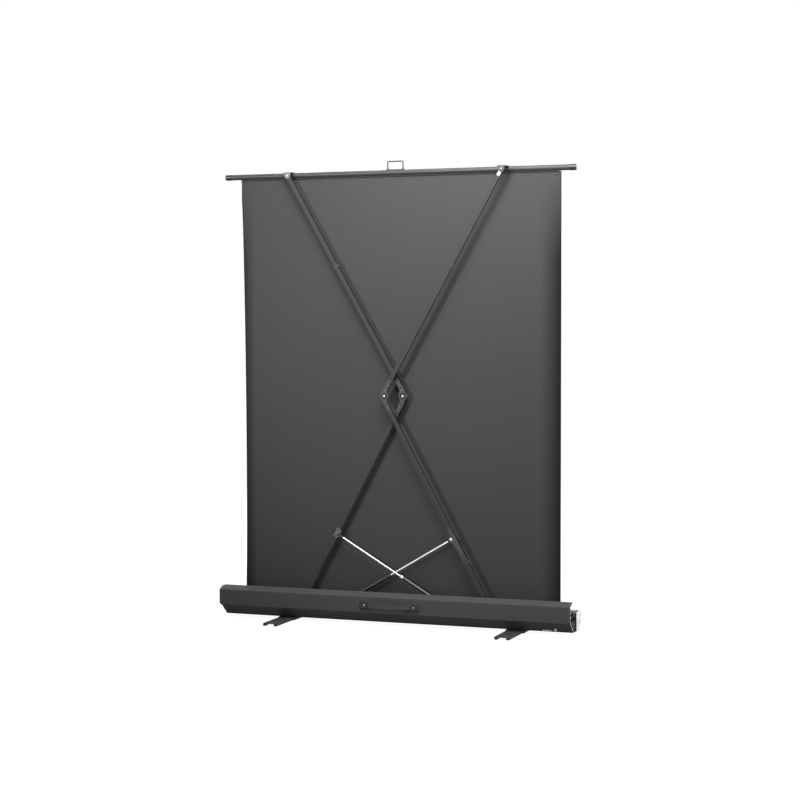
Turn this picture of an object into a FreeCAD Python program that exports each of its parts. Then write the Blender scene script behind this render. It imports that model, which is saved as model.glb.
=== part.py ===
import FreeCAD, Part
import math
import os

from FreeCAD import Vector

# Floor-standing pull-up projection screen, seen from the rear as -Y.
# X runs along the case, +Y is the side the audience sees, +Z is up.
# The origin lies on the floor below the middle of the case, feet included.
# All lengths are in millimetres and the screen is modelled fully raised.

# Fabric and overall size
fabric_width = 1500.0
fabric_thickness = 0.6
fabric_plane_y = 26.0

# Case section, measured from the underside of the case
case_end_margin = 77.0
case_depth = 158.0
case_wall = 2.0
rear_wall_height = 135.0
rear_crease_height = 118.0
rear_top_inset = 37.0
rear_lower_crease_height = 46.5
rear_lower_inset = 51.4
rear_hem = 5.0
front_wall_height = 86.0
front_crease_height = 70.0
front_top_inset = 10.0
front_lower_crease_height = 30.0
front_lower_inset = 34.0
front_hem = 7.0
crease_radius = 3.0
screw_port_radius = 3.2
screw_port_bore = 1.6
divider_rear_y = 9.0
divider_wall = 1.5
divider_height = 80.0
divider_foot = 12.0
end_plate_thickness = 2.5
end_plate_corner = 3.0
end_plug_thickness = 15.0
end_plug_recess = 4.5
end_plug_height = 70.0
end_plug_post_width = 28.0
end_plug_post_height = 82.0
end_plug_rib = 3.0
end_plug_rib_depth = 9.0

# Feet
foot_length = 446.0
foot_width = 70.0
foot_height = 11.5
foot_wall = 2.0
foot_corner = 9.0
left_foot_inset = 308.0
right_foot_inset = 264.0
foot_swell_width = 84.0
foot_swell_length = 96.0
foot_pad_length = 34.0
foot_pad_width = 12.0
foot_pad_drop = 1.2
foot_bolt_radius = 5.0
foot_bolt_head_radius = 11.0
foot_bolt_head_height = 3.0
foot_nut_radius = 8.5
foot_nut_height = 5.0
foot_washer_radius = 19.0
foot_washer_thickness = 0.7
swivel_gap = 0.3

# Lift linkage: two folding legs, each a lower and an upper arm
top_pivot_x = 507.0
pivot_inset = 44.0
elbow_x = 40.0
lower_link = 1079.0
base_pivot_rise = 50.0
left_leg_y = -2.5
leg_pitch = 18.5
elbow_offset = 10.3
arm_width = 20.0
arm_thickness = 10.0
arm_wall = 1.5
arm_corner = 1.5
arm_end_reach = 9.0
arm_elbow_setback = 6.0
pin_radius = 4.0
pin_fit = 0.08
pin_head_radius = 5.8
pin_head_height = 1.8
side_gap = 0.4
open_pivot_clearance = 1.4

# Elbow straps and their rivets
strap_thickness = 1.5
strap_length = 72.0
strap_half_width = 8.5
strap_disc_radius = 18.5
strap_shoulder = 28.0
joggle_run = 7.0
rivet_radius = 2.0
rivet_head_radius = 3.6
rivet_head_height = 1.3
small_head_sides = 14
rivet_near = 35.0
rivet_far = 64.0

# Gas struts
strut_bolt_along = 384.0
strut_bolt_off = 15.5
strut_anchor_x = 359.0
strut_anchor_rise = 12.0
strut_plane_shift = 1.5
cylinder_radius = 8.2
cylinder_bore = 6.5
cylinder_length = 386.0
cylinder_start = 13.0
rod_radius = 4.0
rod_inside = 32.0
piston_radius = 6.3
piston_length = 12.0
collar_radius = 8.8
collar_length = 15.0
collar_bore = 4.2
eye_radius = 7.2
eye_thickness = 8.0
eye_hole = 2.7
rod_neck_length = 24.0
rod_neck_radius = 5.0
strut_bolt_radius = 2.5
strut_bolt_head_radius = 7.0
strut_bolt_head_height = 3.0
bracket_thickness = 2.0
bracket_ear_radius = 5.4
left_bracket_length = 44.0
right_bracket_start = 274.0
right_bracket_end = 428.0
bracket_edge_margin = 1.0
hump_length = 62.0

# Mountings inside the case
base_length = 44.0
base_top_radius = 11.0
cheek_thickness = 2.0
base_plate_thickness = 2.0
anchor_length = 22.0
anchor_top_radius = 8.0

# Top bar
bar_radius = 12.5
bar_wall = 1.5
bar_cap_length = 28.0
bar_cap_extra = 1.0
clamp_width = 9.0
clamp_height = 4.6
clamp_slot = 1.4
clamp_grip = 3.6
top_bracket_thickness = 2.5
top_bracket_width = 37.0
top_bracket_tip_width = 18.0
top_bracket_drop = 11.0
top_bracket_hook = 9.0
top_pivot_drop = 2.1

# Pull handle on the bar
pull_wire_radius = 2.6
pull_half_span = 36.0
pull_height = 35.0
pull_corner = 6.5
pull_wire_sides = 12
pull_socket_radius = 4.4
pull_socket_height = 3.0
pull_clip_half_length = 41.5
pull_clip_width = 13.0
pull_clip_thickness = 2.4

# Rubber bumpers on the arms
bumper_length = 15.0
bumper_reach = 6.0
bumper_wall = 2.2
upper_bumper_along = 470.0
lower_bumper_along = 264.0

# Spring roller
roller_end_margin = 15.0
roller_tube_radius = 19.0
roller_tube_wall = 1.2
roller_wrap = 1.6
roller_rise = 40.0
roller_gap = 0.35
roller_plug_length = 30.0
roller_plug_flange = 2.0
axle_radius = 6.0
axle_depth = 40.0
spring_radius = 13.0
spring_wall = 2.0
spring_length = 420.0

# Carrying handle on the rear face
grip_left_x = -146.0
grip_right_x = 138.0
grip_end_length = 38.0
grip_end_height = 25.0
grip_end_depth = 9.0
grip_rise = 81.0
grip_width = 21.0
grip_thickness = 4.0
grip_bow = 27.0
grip_tuck = 5.0
grip_seat = 2.0
grip_steps = 14

# Small hardware on the outside of the case
clip_plate_inset = 120.0
clip_plate_length = 40.0
clip_plate_width = 9.0
clip_plate_thickness = 1.6
bevel_screw_inset = 80.0
bevel_screw_up = 15.0
bevel_screw_radius = 7.5
bevel_screw_height = 5.5
small_screw_radius = 3.2
small_screw_height = 1.8
overrun = 30.0
parallel_share = 1e-6

# Places that follow from the sizes above
case_z = foot_height + foot_washer_thickness + swivel_gap
case_half = fabric_width / 2 + case_end_margin
left_foot_x = left_foot_inset - case_half
right_foot_x = case_half - right_foot_inset
clip_plate_x = case_half - clip_plate_inset
bevel_screw_x = case_half - bevel_screw_inset
roller_length = fabric_width + roller_end_margin * 2
shell_half = case_half - end_plate_thickness
rear_y = -case_depth / 2
front_y = case_depth / 2
floor_z = case_z + case_wall
rear_top_y = rear_y + rear_top_inset
rear_bottom_y = rear_y + rear_lower_inset
front_bottom_y = front_y - front_lower_inset
front_top_y = front_y - front_top_inset
right_leg_y = left_leg_y - leg_pitch
base_pivot_x = top_pivot_x - pivot_inset
upper_link = lower_link + pivot_inset
base_z = case_z + base_pivot_rise
lower_angle = math.acos((base_pivot_x + elbow_x) / lower_link)
upper_angle = math.acos((top_pivot_x + elbow_x) / upper_link)
elbow_z = base_z + lower_link * math.sin(lower_angle)
top_pivot_z = elbow_z + upper_link * math.sin(upper_angle)
bar_z = top_pivot_z + top_pivot_drop
half_arm = arm_thickness / 2
strap_bend = (
    lower_angle + upper_angle - math.asin(elbow_offset / lower_link) - math.asin(elbow_offset / upper_link)
) / 2
strap_corner = (elbow_offset + strap_half_width) / math.tan(strap_bend)
lower_reach = math.sqrt(lower_link ** 2 - elbow_offset ** 2)
upper_reach = math.sqrt(upper_link ** 2 - elbow_offset ** 2)
roller_z = case_z + roller_rise
roller_y = fabric_plane_y + fabric_thickness / 2 + roller_gap + roller_tube_radius + roller_wrap
anchor_z = case_z + strut_anchor_rise
left_strut_y = right_leg_y + strut_plane_shift
right_strut_y = left_leg_y + strut_plane_shift


def save(shape, name):
    """Write one named sub-part after checking that it is sound."""
    shape = shape.removeSplitter() if len(shape.Solids) == 1 else shape
    if not shape.isValid() or shape.Volume <= 0 or not shape.Solids:
        raise ValueError("unsound shape: " + name)
    shape.exportStep(os.path.join("parts", name + ".step"))


def group(shapes):
    """Join separate solids into one node."""
    return Part.makeCompound(shapes)


def prism_x(points, x0, x1):
    """Extrude an outline of (y, z) points along X."""
    ring = [Vector(x0, y, z) for y, z in points]
    face = Part.Face(Part.makePolygon(ring + ring[:1]))
    return face.extrude(Vector(x1 - x0, 0, 0))


def prism_y(points, y0, y1):
    """Extrude an outline of (x, z) points along Y."""
    ring = [Vector(x, y0, z) for x, z in points]
    face = Part.Face(Part.makePolygon(ring + ring[:1]))
    return face.extrude(Vector(0, y1 - y0, 0))


def prism_z(points, z0, z1):
    """Extrude an outline of (x, y) points along Z."""
    ring = [Vector(x, y, z0) for x, y in points]
    face = Part.Face(Part.makePolygon(ring + ring[:1]))
    return face.extrude(Vector(0, 0, z1 - z0))


def rod_x(radius, x0, x1, y, z):
    """Round bar along X."""
    return Part.makeCylinder(radius, x1 - x0, Vector(x0, y, z), Vector(1, 0, 0))


def rod_y(radius, x, z, y0, y1):
    """Round bar along Y."""
    return Part.makeCylinder(radius, y1 - y0, Vector(x, y0, z), Vector(0, 1, 0))


def rod_z(radius, x, y, z0, z1):
    """Round bar along Z."""
    return Part.makeCylinder(radius, z1 - z0, Vector(x, y, z0), Vector(0, 0, 1))


def rounded(shape, radius, chosen):
    """Fillet the edges of a shape that the test picks out."""
    edges = [edge for edge in shape.Edges if chosen(edge)]
    return shape.makeFillet(radius, edges)


def edge_runs(edge, axis):
    """True for a straight edge along the given axis."""
    if not isinstance(edge.Curve, Part.Line):
        return False
    return edge.Curve.Direction.cross(axis).Length < parallel_share


def offset_path(points, distance):
    """Offset an open path of 2-D points to its left, with mitred corners."""
    moved = []
    for index, point in enumerate(points):
        before = points[max(index - 1, 0)]
        after = points[min(index + 1, len(points) - 1)]
        normals = []
        for start, stop in ((before, point), (point, after)):
            run = math.hypot(stop[0] - start[0], stop[1] - start[1])
            if run > 0:
                normals.append(((start[1] - stop[1]) / run, (stop[0] - start[0]) / run))
        sum_a = sum(normal[0] for normal in normals)
        sum_b = sum(normal[1] for normal in normals)
        size = math.hypot(sum_a, sum_b)
        unit = (sum_a / size, sum_b / size)
        stretch = distance / (unit[0] * normals[0][0] + unit[1] * normals[0][1])
        moved.append((point[0] + unit[0] * stretch, point[1] + unit[1] * stretch))
    return moved


def sheet_profile(points, wall):
    """Close a path into the section of a sheet that has the given wall on its left."""
    return points + offset_path(points, wall)[::-1]


def half_turn(shape):
    """Mirror a shape from the left leg to the other side of the case."""
    return shape.mirror(Vector(0, 0, 0), Vector(1, 0, 0))


# Case shell

def rear_path():
    """Outer path of the rear shell, from its top hem down and under to the front."""
    return [
        (rear_top_y, case_z + rear_wall_height - rear_hem),
        (rear_top_y, case_z + rear_wall_height),
        (rear_y, case_z + rear_crease_height),
        (rear_y, case_z + rear_lower_crease_height),
        (rear_bottom_y, case_z),
        (front_bottom_y, case_z),
    ]


def front_path():
    """Outer path of the front shell, from the floor joint up to its lip."""
    return [
        (front_bottom_y, case_z),
        (front_y, case_z + front_lower_crease_height),
        (front_y, case_z + front_crease_height),
        (front_top_y, case_z + front_wall_height),
        (front_top_y, case_z + front_wall_height - front_hem),
    ]


def soften_creases(shell, creases):
    """Round the long creases, wider outside than inside."""
    for y, z, radius in creases:
        def on_crease(edge):
            centre = edge.CenterOfMass
            near = math.hypot(centre.y - y, centre.z - z) < case_wall / 8
            return near and edge_runs(edge, Vector(1, 0, 0))
        shell = rounded(shell, radius, on_crease)
    return shell


def crease_list(path, inner):
    """Pair each bend of a path with its outer or inner radius."""
    outer = [(y, z, crease_radius + case_wall) for y, z in path]
    inside = [(y, z, crease_radius) for y, z in inner]
    return outer + inside


def rear_shell():
    """Wall and floor of the rear chamber, with the holes of the two foot bolts."""
    path = rear_path()
    inner = offset_path(path, case_wall)
    rear = prism_x(sheet_profile(path, case_wall), -shell_half, shell_half)
    rear = soften_creases(rear, crease_list(path[2:5], inner[2:5]))
    for x in (left_foot_x, right_foot_x):
        rear = rear.cut(rod_z(foot_bolt_radius, x, 0, case_z - overrun, floor_z + overrun))
    return rear


def make_case(rear):
    """Rear shell, front shell and the divider between their two chambers."""
    save(rear, "case_rear_shell")

    path = front_path()
    inner = offset_path(path, case_wall)
    front = prism_x(sheet_profile(path, case_wall), -shell_half, shell_half)
    front = soften_creases(front, crease_list(path[1:3], inner[1:3])).cut(rear)
    for y, z in front_ports():
        front = front.fuse(rod_x(screw_port_radius, -shell_half, shell_half, y, z))
    for y, z in front_ports():
        front = front.cut(rod_x(screw_port_bore, -case_half, case_half, y, z))
    save(front, "case_front_shell")

    path = [
        (divider_rear_y + divider_foot, floor_z),
        (divider_rear_y, floor_z),
        (divider_rear_y, case_z + divider_height),
    ]
    profile = sheet_profile(path[::-1], divider_wall)
    divider = prism_x(profile, -shell_half, shell_half)
    y, z = divider_port()
    divider = divider.fuse(rod_x(screw_port_radius, -shell_half, shell_half, y, z))
    divider = divider.cut(rod_x(screw_port_bore, -case_half, case_half, y, z))
    save(divider, "case_divider")


def front_ports():
    """Centres of the screw ports inside the front wall."""
    inset = case_wall + screw_port_radius / 3
    lower = case_z + front_lower_crease_height + screw_port_radius
    upper = case_z + front_crease_height - screw_port_radius
    return [(front_y - inset, lower), (front_y - inset, upper)]


def divider_port():
    """Centre of the screw port on the divider."""
    y = divider_rear_y + divider_wall / 2 + screw_port_radius
    return (y, case_z + divider_height - screw_port_radius * 2)


def rear_cavity():
    """Clear space of the rear chamber, used to trim what stands in it."""
    path = rear_path()
    inner = offset_path(path, case_wall)
    outline = [inner[1], inner[2], inner[3], inner[4]]
    outline.append((divider_rear_y, floor_z))
    outline.append((divider_rear_y, inner[1][1]))
    return prism_x(outline, -shell_half, shell_half)


def make_ends(rear):
    """Silver end plates, the black plugs beside them and the screws outside."""
    outline = [
        (divider_rear_y, case_z),
        (front_bottom_y, case_z),
        (front_y, case_z + front_lower_crease_height),
        (front_y, case_z + front_crease_height),
        (front_top_y, case_z + front_wall_height),
        (divider_rear_y, case_z + divider_height),
    ]
    plate = prism_x(outline, shell_half, case_half)
    plate = rounded(plate, end_plate_corner, lambda edge: edge_runs(edge, Vector(1, 0, 0)))
    for y, z in front_ports() + [divider_port()]:
        plate = plate.cut(rod_x(screw_port_bore, shell_half - overrun, case_half + overrun, y, z))
    plate = plate.cut(rod_x(axle_radius, shell_half - overrun, case_half + overrun, roller_y, roller_z))
    save(plate, "end_plate_right")
    save(half_turn(plate), "end_plate_left")

    plug_x = shell_half - end_plug_recess
    outline = rear_cavity().common(
        prism_x(
            [
                (rear_y, case_z),
                (front_y, case_z),
                (front_y, case_z + end_plug_post_height),
                (divider_rear_y - end_plug_post_width, case_z + end_plug_post_height),
                (divider_rear_y - end_plug_post_width, case_z + end_plug_height),
                (rear_y, case_z + end_plug_height),
            ],
            plug_x - end_plug_thickness,
            plug_x,
        )
    )
    middle_y = (rear_y + divider_rear_y) / 2
    pocket_z = case_z + rear_lower_crease_height + end_plug_rib
    pocket = Part.makeBox(
        end_plug_rib_depth,
        divider_rear_y - middle_y - end_plug_rib * 2,
        end_plug_height - rear_lower_crease_height - end_plug_rib * 2,
        Vector(plug_x - end_plug_rib_depth, middle_y + end_plug_rib, pocket_z),
    )
    plug = outline.cut(rear).cut(pocket)
    plug = plug.cut(pocket.translated(Vector(0, middle_y - divider_rear_y + end_plug_rib, 0)))
    save(group([plug, half_turn(plug)]), "chamber_end_plugs")

    axle = rod_x(axle_radius, roller_length / 2 - axle_depth, case_half, roller_y, roller_z)
    save(group([axle, half_turn(axle)]), "roller_axles")


def domed_screw(radius, height):
    """Small head with many flat sides and a sloping crown, seated on XY and facing +Z."""
    ring = [math.pi * 2 * side / small_head_sides for side in range(small_head_sides)]
    levels = ((0, radius), (height / 3, radius), (height, radius / 2))
    wires = []
    for z, size in levels:
        corners = [Vector(size * math.cos(turn), size * math.sin(turn), z) for turn in ring]
        wires.append(Part.makePolygon(corners + corners[:1]))
    rim = Part.makeLoft(wires[:2], True, True)
    crown = Part.makeLoft(wires[1:], True, True)
    return rim.fuse(crown).removeSplitter()


def round_head(radius, height):
    """Spherical cap seated on the XY plane and facing +Z."""
    sphere = (radius ** 2 + height ** 2) / (height * 2)
    ball = Part.makeSphere(sphere, Vector(0, 0, height - sphere))
    return ball.common(Part.makeCylinder(sphere * 2, height * 2))


def face_screw(head, position, direction):
    """Set a screw head at a place, with its top along a direction."""
    turned = head.copy()
    turned.Placement = FreeCAD.Placement(position, FreeCAD.Rotation(Vector(0, 0, 1), direction))
    return turned


def make_case_screws():
    """All small screws on the outside of the case, in one node."""
    small = domed_screw(small_screw_radius, small_screw_height)
    heads = []
    for y, z in front_ports() + [divider_port()]:
        heads.append(face_screw(small, Vector(case_half, y, z), Vector(1, 0, 0)))
        heads.append(face_screw(small, Vector(-case_half, y, z), Vector(-1, 0, 0)))
    for x in grip_screw_places():
        place = Vector(x, rear_y - grip_end_depth, case_z + grip_rise)
        heads.append(face_screw(small, place, Vector(0, -1, 0)))
    large = round_head(bevel_screw_radius, bevel_screw_height)
    heads.append(face_screw(large, bevel_point(bevel_screw_x, bevel_screw_up), bevel_normal()))
    save(group(heads), "case_screws")


def bevel_normal():
    """Outward direction of the lower rear bevel."""
    return Vector(0, -rear_lower_crease_height, -rear_lower_inset).normalize()


def bevel_point(x, up):
    """Point on the lower rear bevel, a distance up its slope from the bottom edge."""
    run = math.hypot(rear_lower_inset, rear_lower_crease_height)
    y = rear_bottom_y - rear_lower_inset * up / run
    return Vector(x, y, case_z + rear_lower_crease_height * up / run)


def make_clip_plate():
    """Small bright plate on the lower rear bevel."""
    margin = crease_radius + clip_plate_thickness
    low = bevel_point(0, margin)
    high = bevel_point(0, margin + clip_plate_width)
    out = bevel_normal() * clip_plate_thickness
    outline = [
        (low.y, low.z),
        (high.y, high.z),
        (high.y + out.y, high.z + out.z),
        (low.y + out.y, low.z + out.z),
    ]
    half = clip_plate_length / 2
    save(prism_x(outline, clip_plate_x - half, clip_plate_x + half), "lower_clip_plate")


# Carrying handle

def grip_screw_places():
    """X of the screw in each end of the carrying handle."""
    inset = grip_end_length * 2 / 3
    return [grip_left_x + inset, grip_right_x - inset]


def grip_end():
    """Moulded left end of the carrying handle, sloping to its outer end."""
    mouth_x = grip_left_x + grip_end_length
    low = case_z + grip_rise - grip_end_height / 2
    outline = [
        (grip_left_x, rear_y),
        (mouth_x, rear_y),
        (mouth_x, rear_y - grip_end_depth),
        (grip_left_x + grip_end_length / 5, rear_y - grip_end_depth),
        (grip_left_x, rear_y - grip_end_depth / 3),
    ]
    block = prism_z(outline, low, low + grip_end_height)
    block = rounded(block, grip_end_depth / 3, lambda edge: edge_runs(edge, Vector(0, 1, 0)))
    mouth = Part.makeBox(
        grip_tuck + overrun,
        grip_thickness,
        grip_width,
        Vector(mouth_x - grip_tuck, rear_y - grip_seat - grip_thickness, case_z + grip_rise - grip_width / 2),
    )
    return block.cut(mouth)


def make_grip():
    """Two end fittings and the bowed strap between them."""
    mouth_left = grip_left_x + grip_end_length
    mouth_right = grip_right_x - grip_end_length
    middle_y = rear_y - grip_seat - grip_thickness / 2
    centre = [(mouth_left - grip_tuck, middle_y)]
    for step in range(grip_steps + 1):
        share = step / grip_steps
        bow = grip_bow * math.sin(math.pi * share)
        centre.append((mouth_left + (mouth_right - mouth_left) * share, middle_y - bow))
    centre.append((mouth_right + grip_tuck, middle_y))
    rear_side = offset_path(centre, -grip_thickness / 2)
    front_side = offset_path(centre, grip_thickness / 2)
    strap = prism_z(
        front_side + rear_side[::-1],
        case_z + grip_rise - grip_width / 2,
        case_z + grip_rise + grip_width / 2,
    )
    save(strap, "carry_handle_strap")
    left = grip_end().cut(strap)
    right = half_turn(left).translated(Vector(grip_left_x + grip_right_x, 0, 0))
    save(group([left, right]), "carry_handle_ends")


# Feet

def foot_outline(width, length, corner):
    """Plan of a foot as a rounded bar centred on its own pivot."""
    blank = Part.makeBox(width, length, foot_height, Vector(-width / 2, -length / 2, 0))
    return rounded(blank, corner, lambda edge: edge_runs(edge, Vector(0, 0, 1)))


def make_feet():
    """Two swivel feet as folded channels open at both ends, with corner pads and bolts."""
    blank = foot_outline(foot_width, foot_length, foot_corner)
    blank = blank.fuse(foot_outline(foot_swell_width, foot_swell_length, foot_corner))
    inner = Part.makeBox(
        foot_width - foot_wall * 2,
        foot_length + overrun * 2,
        foot_height,
        Vector(foot_wall - foot_width / 2, -foot_length / 2 - overrun, 0),
    )
    inner = inner.fuse(
        foot_outline(
            foot_swell_width - foot_wall * 2,
            foot_swell_length - foot_wall * 2,
            foot_corner - foot_wall,
        )
    )
    inner.translate(Vector(0, 0, -foot_wall))
    channel = blank.cut(inner)
    corner = Vector(-foot_length / 2, -foot_length / 2, 0)
    trim = Part.makeBox(foot_length, foot_length, foot_pad_drop, corner)
    channel = channel.cut(trim)
    channel = channel.cut(rod_z(foot_bolt_radius + pin_fit, 0, 0, -overrun, foot_height + overrun))
    pad_zone = Part.makeBox(
        foot_pad_width,
        foot_pad_length,
        foot_height,
        Vector(foot_width / 2 - foot_wall - foot_pad_width, foot_length / 2 - foot_pad_length, 0),
    )
    pad = foot_outline(foot_width - foot_wall * 2, foot_length, foot_corner - foot_wall)
    pad.translate(Vector(0, 0, -foot_wall))
    pad = pad.common(pad_zone)
    rear_pad = pad.mirror(Vector(0, 0, 0), Vector(0, 1, 0))
    pads = group([pad, rear_pad, half_turn(pad), half_turn(rear_pad)])
    bolts = []
    washers = []
    for name, x in (("left", left_foot_x), ("right", right_foot_x)):
        save(channel.translated(Vector(x, 0, 0)), name + "_foot_channel")
        save(pads.translated(Vector(x, 0, 0)), name + "_foot_pads")
        head_top = foot_height - foot_wall - swivel_gap
        head_low = head_top - foot_bolt_head_height
        shank = rod_z(foot_bolt_radius, x, 0, head_top, floor_z)
        nut = rod_z(foot_nut_radius, x, 0, floor_z, floor_z + foot_nut_height)
        head = rod_z(foot_bolt_head_radius, x, 0, head_low, head_top)
        bolts.append(shank.fuse([head, nut]).removeSplitter())
        ring = rod_z(foot_washer_radius, x, 0, case_z - foot_washer_thickness, case_z)
        washers.append(ring.cut(rod_z(foot_bolt_radius, x, 0, case_z - overrun, case_z + overrun)))
    save(group(bolts), "foot_swivel_bolts")
    save(group(washers), "foot_washers")


# Arms: a lower arm is built from its base pivot at the origin, along +X.
# Its elbow pivot lies elbow_offset above the tube's middle line.

def arm_tube(reach, far_hole):
    """Rectangular tube with its far pivot hole and the rivet holes."""
    start = -arm_end_reach
    stop = reach - arm_elbow_setback
    outer = Part.makeBox(stop - start, arm_thickness, arm_width, Vector(start, -half_arm, -arm_width / 2))
    outer = rounded(outer, arm_corner, lambda edge: edge_runs(edge, Vector(1, 0, 0)))
    inner = Part.makeBox(
        stop - start + overrun * 2,
        arm_thickness - arm_wall * 2,
        arm_width - arm_wall * 2,
        Vector(start - overrun, arm_wall - half_arm, arm_wall - arm_width / 2),
    )
    tube = outer.cut(inner)
    tube = tube.cut(rod_y(far_hole, 0, 0, -overrun, overrun))
    for back in (rivet_near, rivet_far):
        tube = tube.cut(rod_y(rivet_radius, reach - back, 0, -overrun, overrun))
    return tube


def tangent_point(point, centre, radius, upper):
    """Where a line from a point touches a circle, on its upper or lower side."""
    run_x = centre[0] - point[0]
    run_z = centre[1] - point[1]
    run = math.hypot(run_x, run_z)
    lean = math.atan2(run_z, run_x)
    spread = math.asin(radius / run)
    angle = lean + spread if upper else lean - spread
    length = math.sqrt(run * run - radius * radius)
    return (point[0] + length * math.cos(angle), point[1] + length * math.sin(angle))


def strap_blank(reach, y0, y1):
    """Plate along the tube, with a corner outside the bend and a disc round the pivot."""
    centre = (reach, elbow_offset)
    begin = reach - strap_length
    shoulder = reach - strap_shoulder
    corner = (reach + strap_corner, -strap_half_width)
    beyond = tangent_point(corner, centre, strap_disc_radius, False)
    high = tangent_point((shoulder, strap_half_width), centre, strap_disc_radius, True)
    outline = [
        (begin, -strap_half_width),
        corner,
        beyond,
        high,
        (shoulder, strap_half_width),
        (begin, strap_half_width),
    ]
    plate = prism_y(outline, y0, y1)
    return plate.fuse(rod_y(strap_disc_radius, reach, elbow_offset, y0, y1)).removeSplitter()


def strap_pair(reach, outside):
    """The two riveted straps of an arm; the outside pair steps over the other arm's."""
    step = (strap_thickness + side_gap) if outside else 0
    rest = half_arm
    blank = strap_blank(reach, rest, rest + step + strap_thickness)
    if outside:
        bend = reach - rivet_near + rivet_head_radius + side_gap
        section = [
            (reach - strap_length, rest),
            (bend, rest),
            (bend + joggle_run, rest + step),
            (reach + strap_disc_radius, rest + step),
            (reach + strap_disc_radius, rest + step + strap_thickness),
            (bend + joggle_run, rest + step + strap_thickness),
            (bend, rest + strap_thickness),
            (reach - strap_length, rest + strap_thickness),
        ]
        blank = blank.common(prism_z(section, -overrun, overrun + strap_disc_radius))
    hole = pin_radius + (pin_fit if outside else 0)
    blank = blank.cut(rod_y(hole, reach, elbow_offset, -overrun, overrun))
    for back in (rivet_near, rivet_far):
        blank = blank.cut(rod_y(rivet_radius, reach - back, 0, -overrun, overrun))
    return [blank, blank.mirror(Vector(0, 0, 0), Vector(0, 1, 0))]


def strap_stack():
    """Half thickness of an elbow over the outer straps."""
    return half_arm + strap_thickness * 2 + side_gap


def rivet(x, z, low, high):
    """Rivet along Y with a shallow domed head at each end."""
    head = domed_screw(rivet_head_radius, rivet_head_height)
    shank = rod_y(rivet_radius, x, z, low, high)
    back = face_screw(head, Vector(x, low, z), Vector(0, -1, 0))
    front = face_screw(head, Vector(x, high, z), Vector(0, 1, 0))
    return shank.fuse([back, front]).removeSplitter()


def elbow_rivets(reach):
    """Two rivets through both straps and the tube."""
    edge = half_arm + strap_thickness
    return [rivet(reach - back, 0, -edge, edge) for back in (rivet_near, rivet_far)]


def elbow_pin(reach):
    """Pivot pin with a bright head at each side of the elbow."""
    edge = strap_stack() + side_gap
    pin = rod_y(pin_radius, reach, elbow_offset, -edge, edge)
    head = domed_screw(pin_head_radius, pin_head_height)
    back = face_screw(head, Vector(reach, -edge, elbow_offset), Vector(0, -1, 0))
    front = face_screw(head, Vector(reach, edge, elbow_offset), Vector(0, 1, 0))
    return pin.fuse([back, front]).removeSplitter()


def bumper(along, side):
    """Rubber clip round the tube with a buffer on one narrow side."""
    sleeve = Part.makeBox(
        bumper_length,
        arm_thickness + bumper_wall * 2,
        arm_width + bumper_wall + bumper_reach,
        Vector(along - bumper_length / 2, -half_arm - bumper_wall, -arm_width / 2 - bumper_wall),
    )
    sleeve = rounded(sleeve, bumper_wall / 2, lambda edge: edge_runs(edge, Vector(1, 0, 0)))
    sleeve = sleeve.cut(
        Part.makeBox(
            bumper_length + overrun * 2,
            arm_thickness,
            arm_width,
            Vector(along - bumper_length / 2 - overrun, -half_arm, -arm_width / 2),
        )
    )
    return sleeve if side > 0 else sleeve.mirror(Vector(0, 0, 0), Vector(0, 0, 1))


def place_lower(shape, leg_y):
    """Lean a lower arm built along +X into the raised left leg."""
    lean = math.degrees(lower_angle - math.asin(elbow_offset / lower_link))
    moved = shape.copy()
    turn = FreeCAD.Rotation(Vector(0, 1, 0), -lean)
    place = FreeCAD.Placement(Vector(-base_pivot_x, leg_y, base_z), turn)
    moved.Placement = place.multiply(moved.Placement)
    return moved


def place_upper(shape, leg_y):
    """Turn an arm upside down and hang it from the left top pivot."""
    lean = math.degrees(upper_angle - math.asin(elbow_offset / upper_link))
    moved = shape.mirror(Vector(0, 0, 0), Vector(0, 0, 1))
    turn = FreeCAD.Rotation(Vector(0, 1, 0), lean)
    place = FreeCAD.Placement(Vector(-top_pivot_x, leg_y, top_pivot_z), turn)
    moved.Placement = place.multiply(moved.Placement)
    return moved


def bracket_hole(shape):
    """Cut the strut bolt's hole from an arm-frame shape."""
    return shape.cut(rod_y(strut_bolt_radius, strut_bolt_along, -strut_bolt_off, -overrun, overrun))


def bracket_ear(start, stop, y0, y1):
    """Rounded ear below a bracket plate, faired into its edge from start to stop."""
    edge = bracket_edge_margin - arm_width / 2
    centre = (strut_bolt_along, -strut_bolt_off)
    before = tangent_point((start, edge), centre, bracket_ear_radius, False)
    reverse = tangent_point((strut_bolt_along * 2 - stop, edge), centre, bracket_ear_radius, False)
    after = (strut_bolt_along * 2 - reverse[0], reverse[1])
    web = prism_y([(start, edge), before, centre, after, (stop, edge)], y0, y1)
    return web.fuse(rod_y(bracket_ear_radius, strut_bolt_along, -strut_bolt_off, y0, y1))


def left_bracket():
    """Short plate on the rear face of the left lower arm, for its gas strut."""
    back = -half_arm
    half = left_bracket_length / 2
    edge = arm_width / 2 - bracket_edge_margin
    outline = [
        (strut_bolt_along - half, edge),
        (strut_bolt_along - half, -edge),
        (strut_bolt_along + half, -edge),
        (strut_bolt_along + half, edge),
    ]
    plate = prism_y(outline, back - bracket_thickness, back)
    ear = bracket_ear(strut_bolt_along - half, strut_bolt_along + half, back - bracket_thickness, back)
    plate = bracket_hole(plate.fuse(ear).removeSplitter())
    for x in left_bracket_rivets():
        plate = plate.cut(rod_y(rivet_radius, x, 0, -overrun, overrun))
    return plate


def left_bracket_rivets():
    """Rivet places of the short plate, along the arm."""
    spread = left_bracket_length / 2 - rivet_head_radius * 2
    return [strut_bolt_along - spread, strut_bolt_along + spread]


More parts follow.
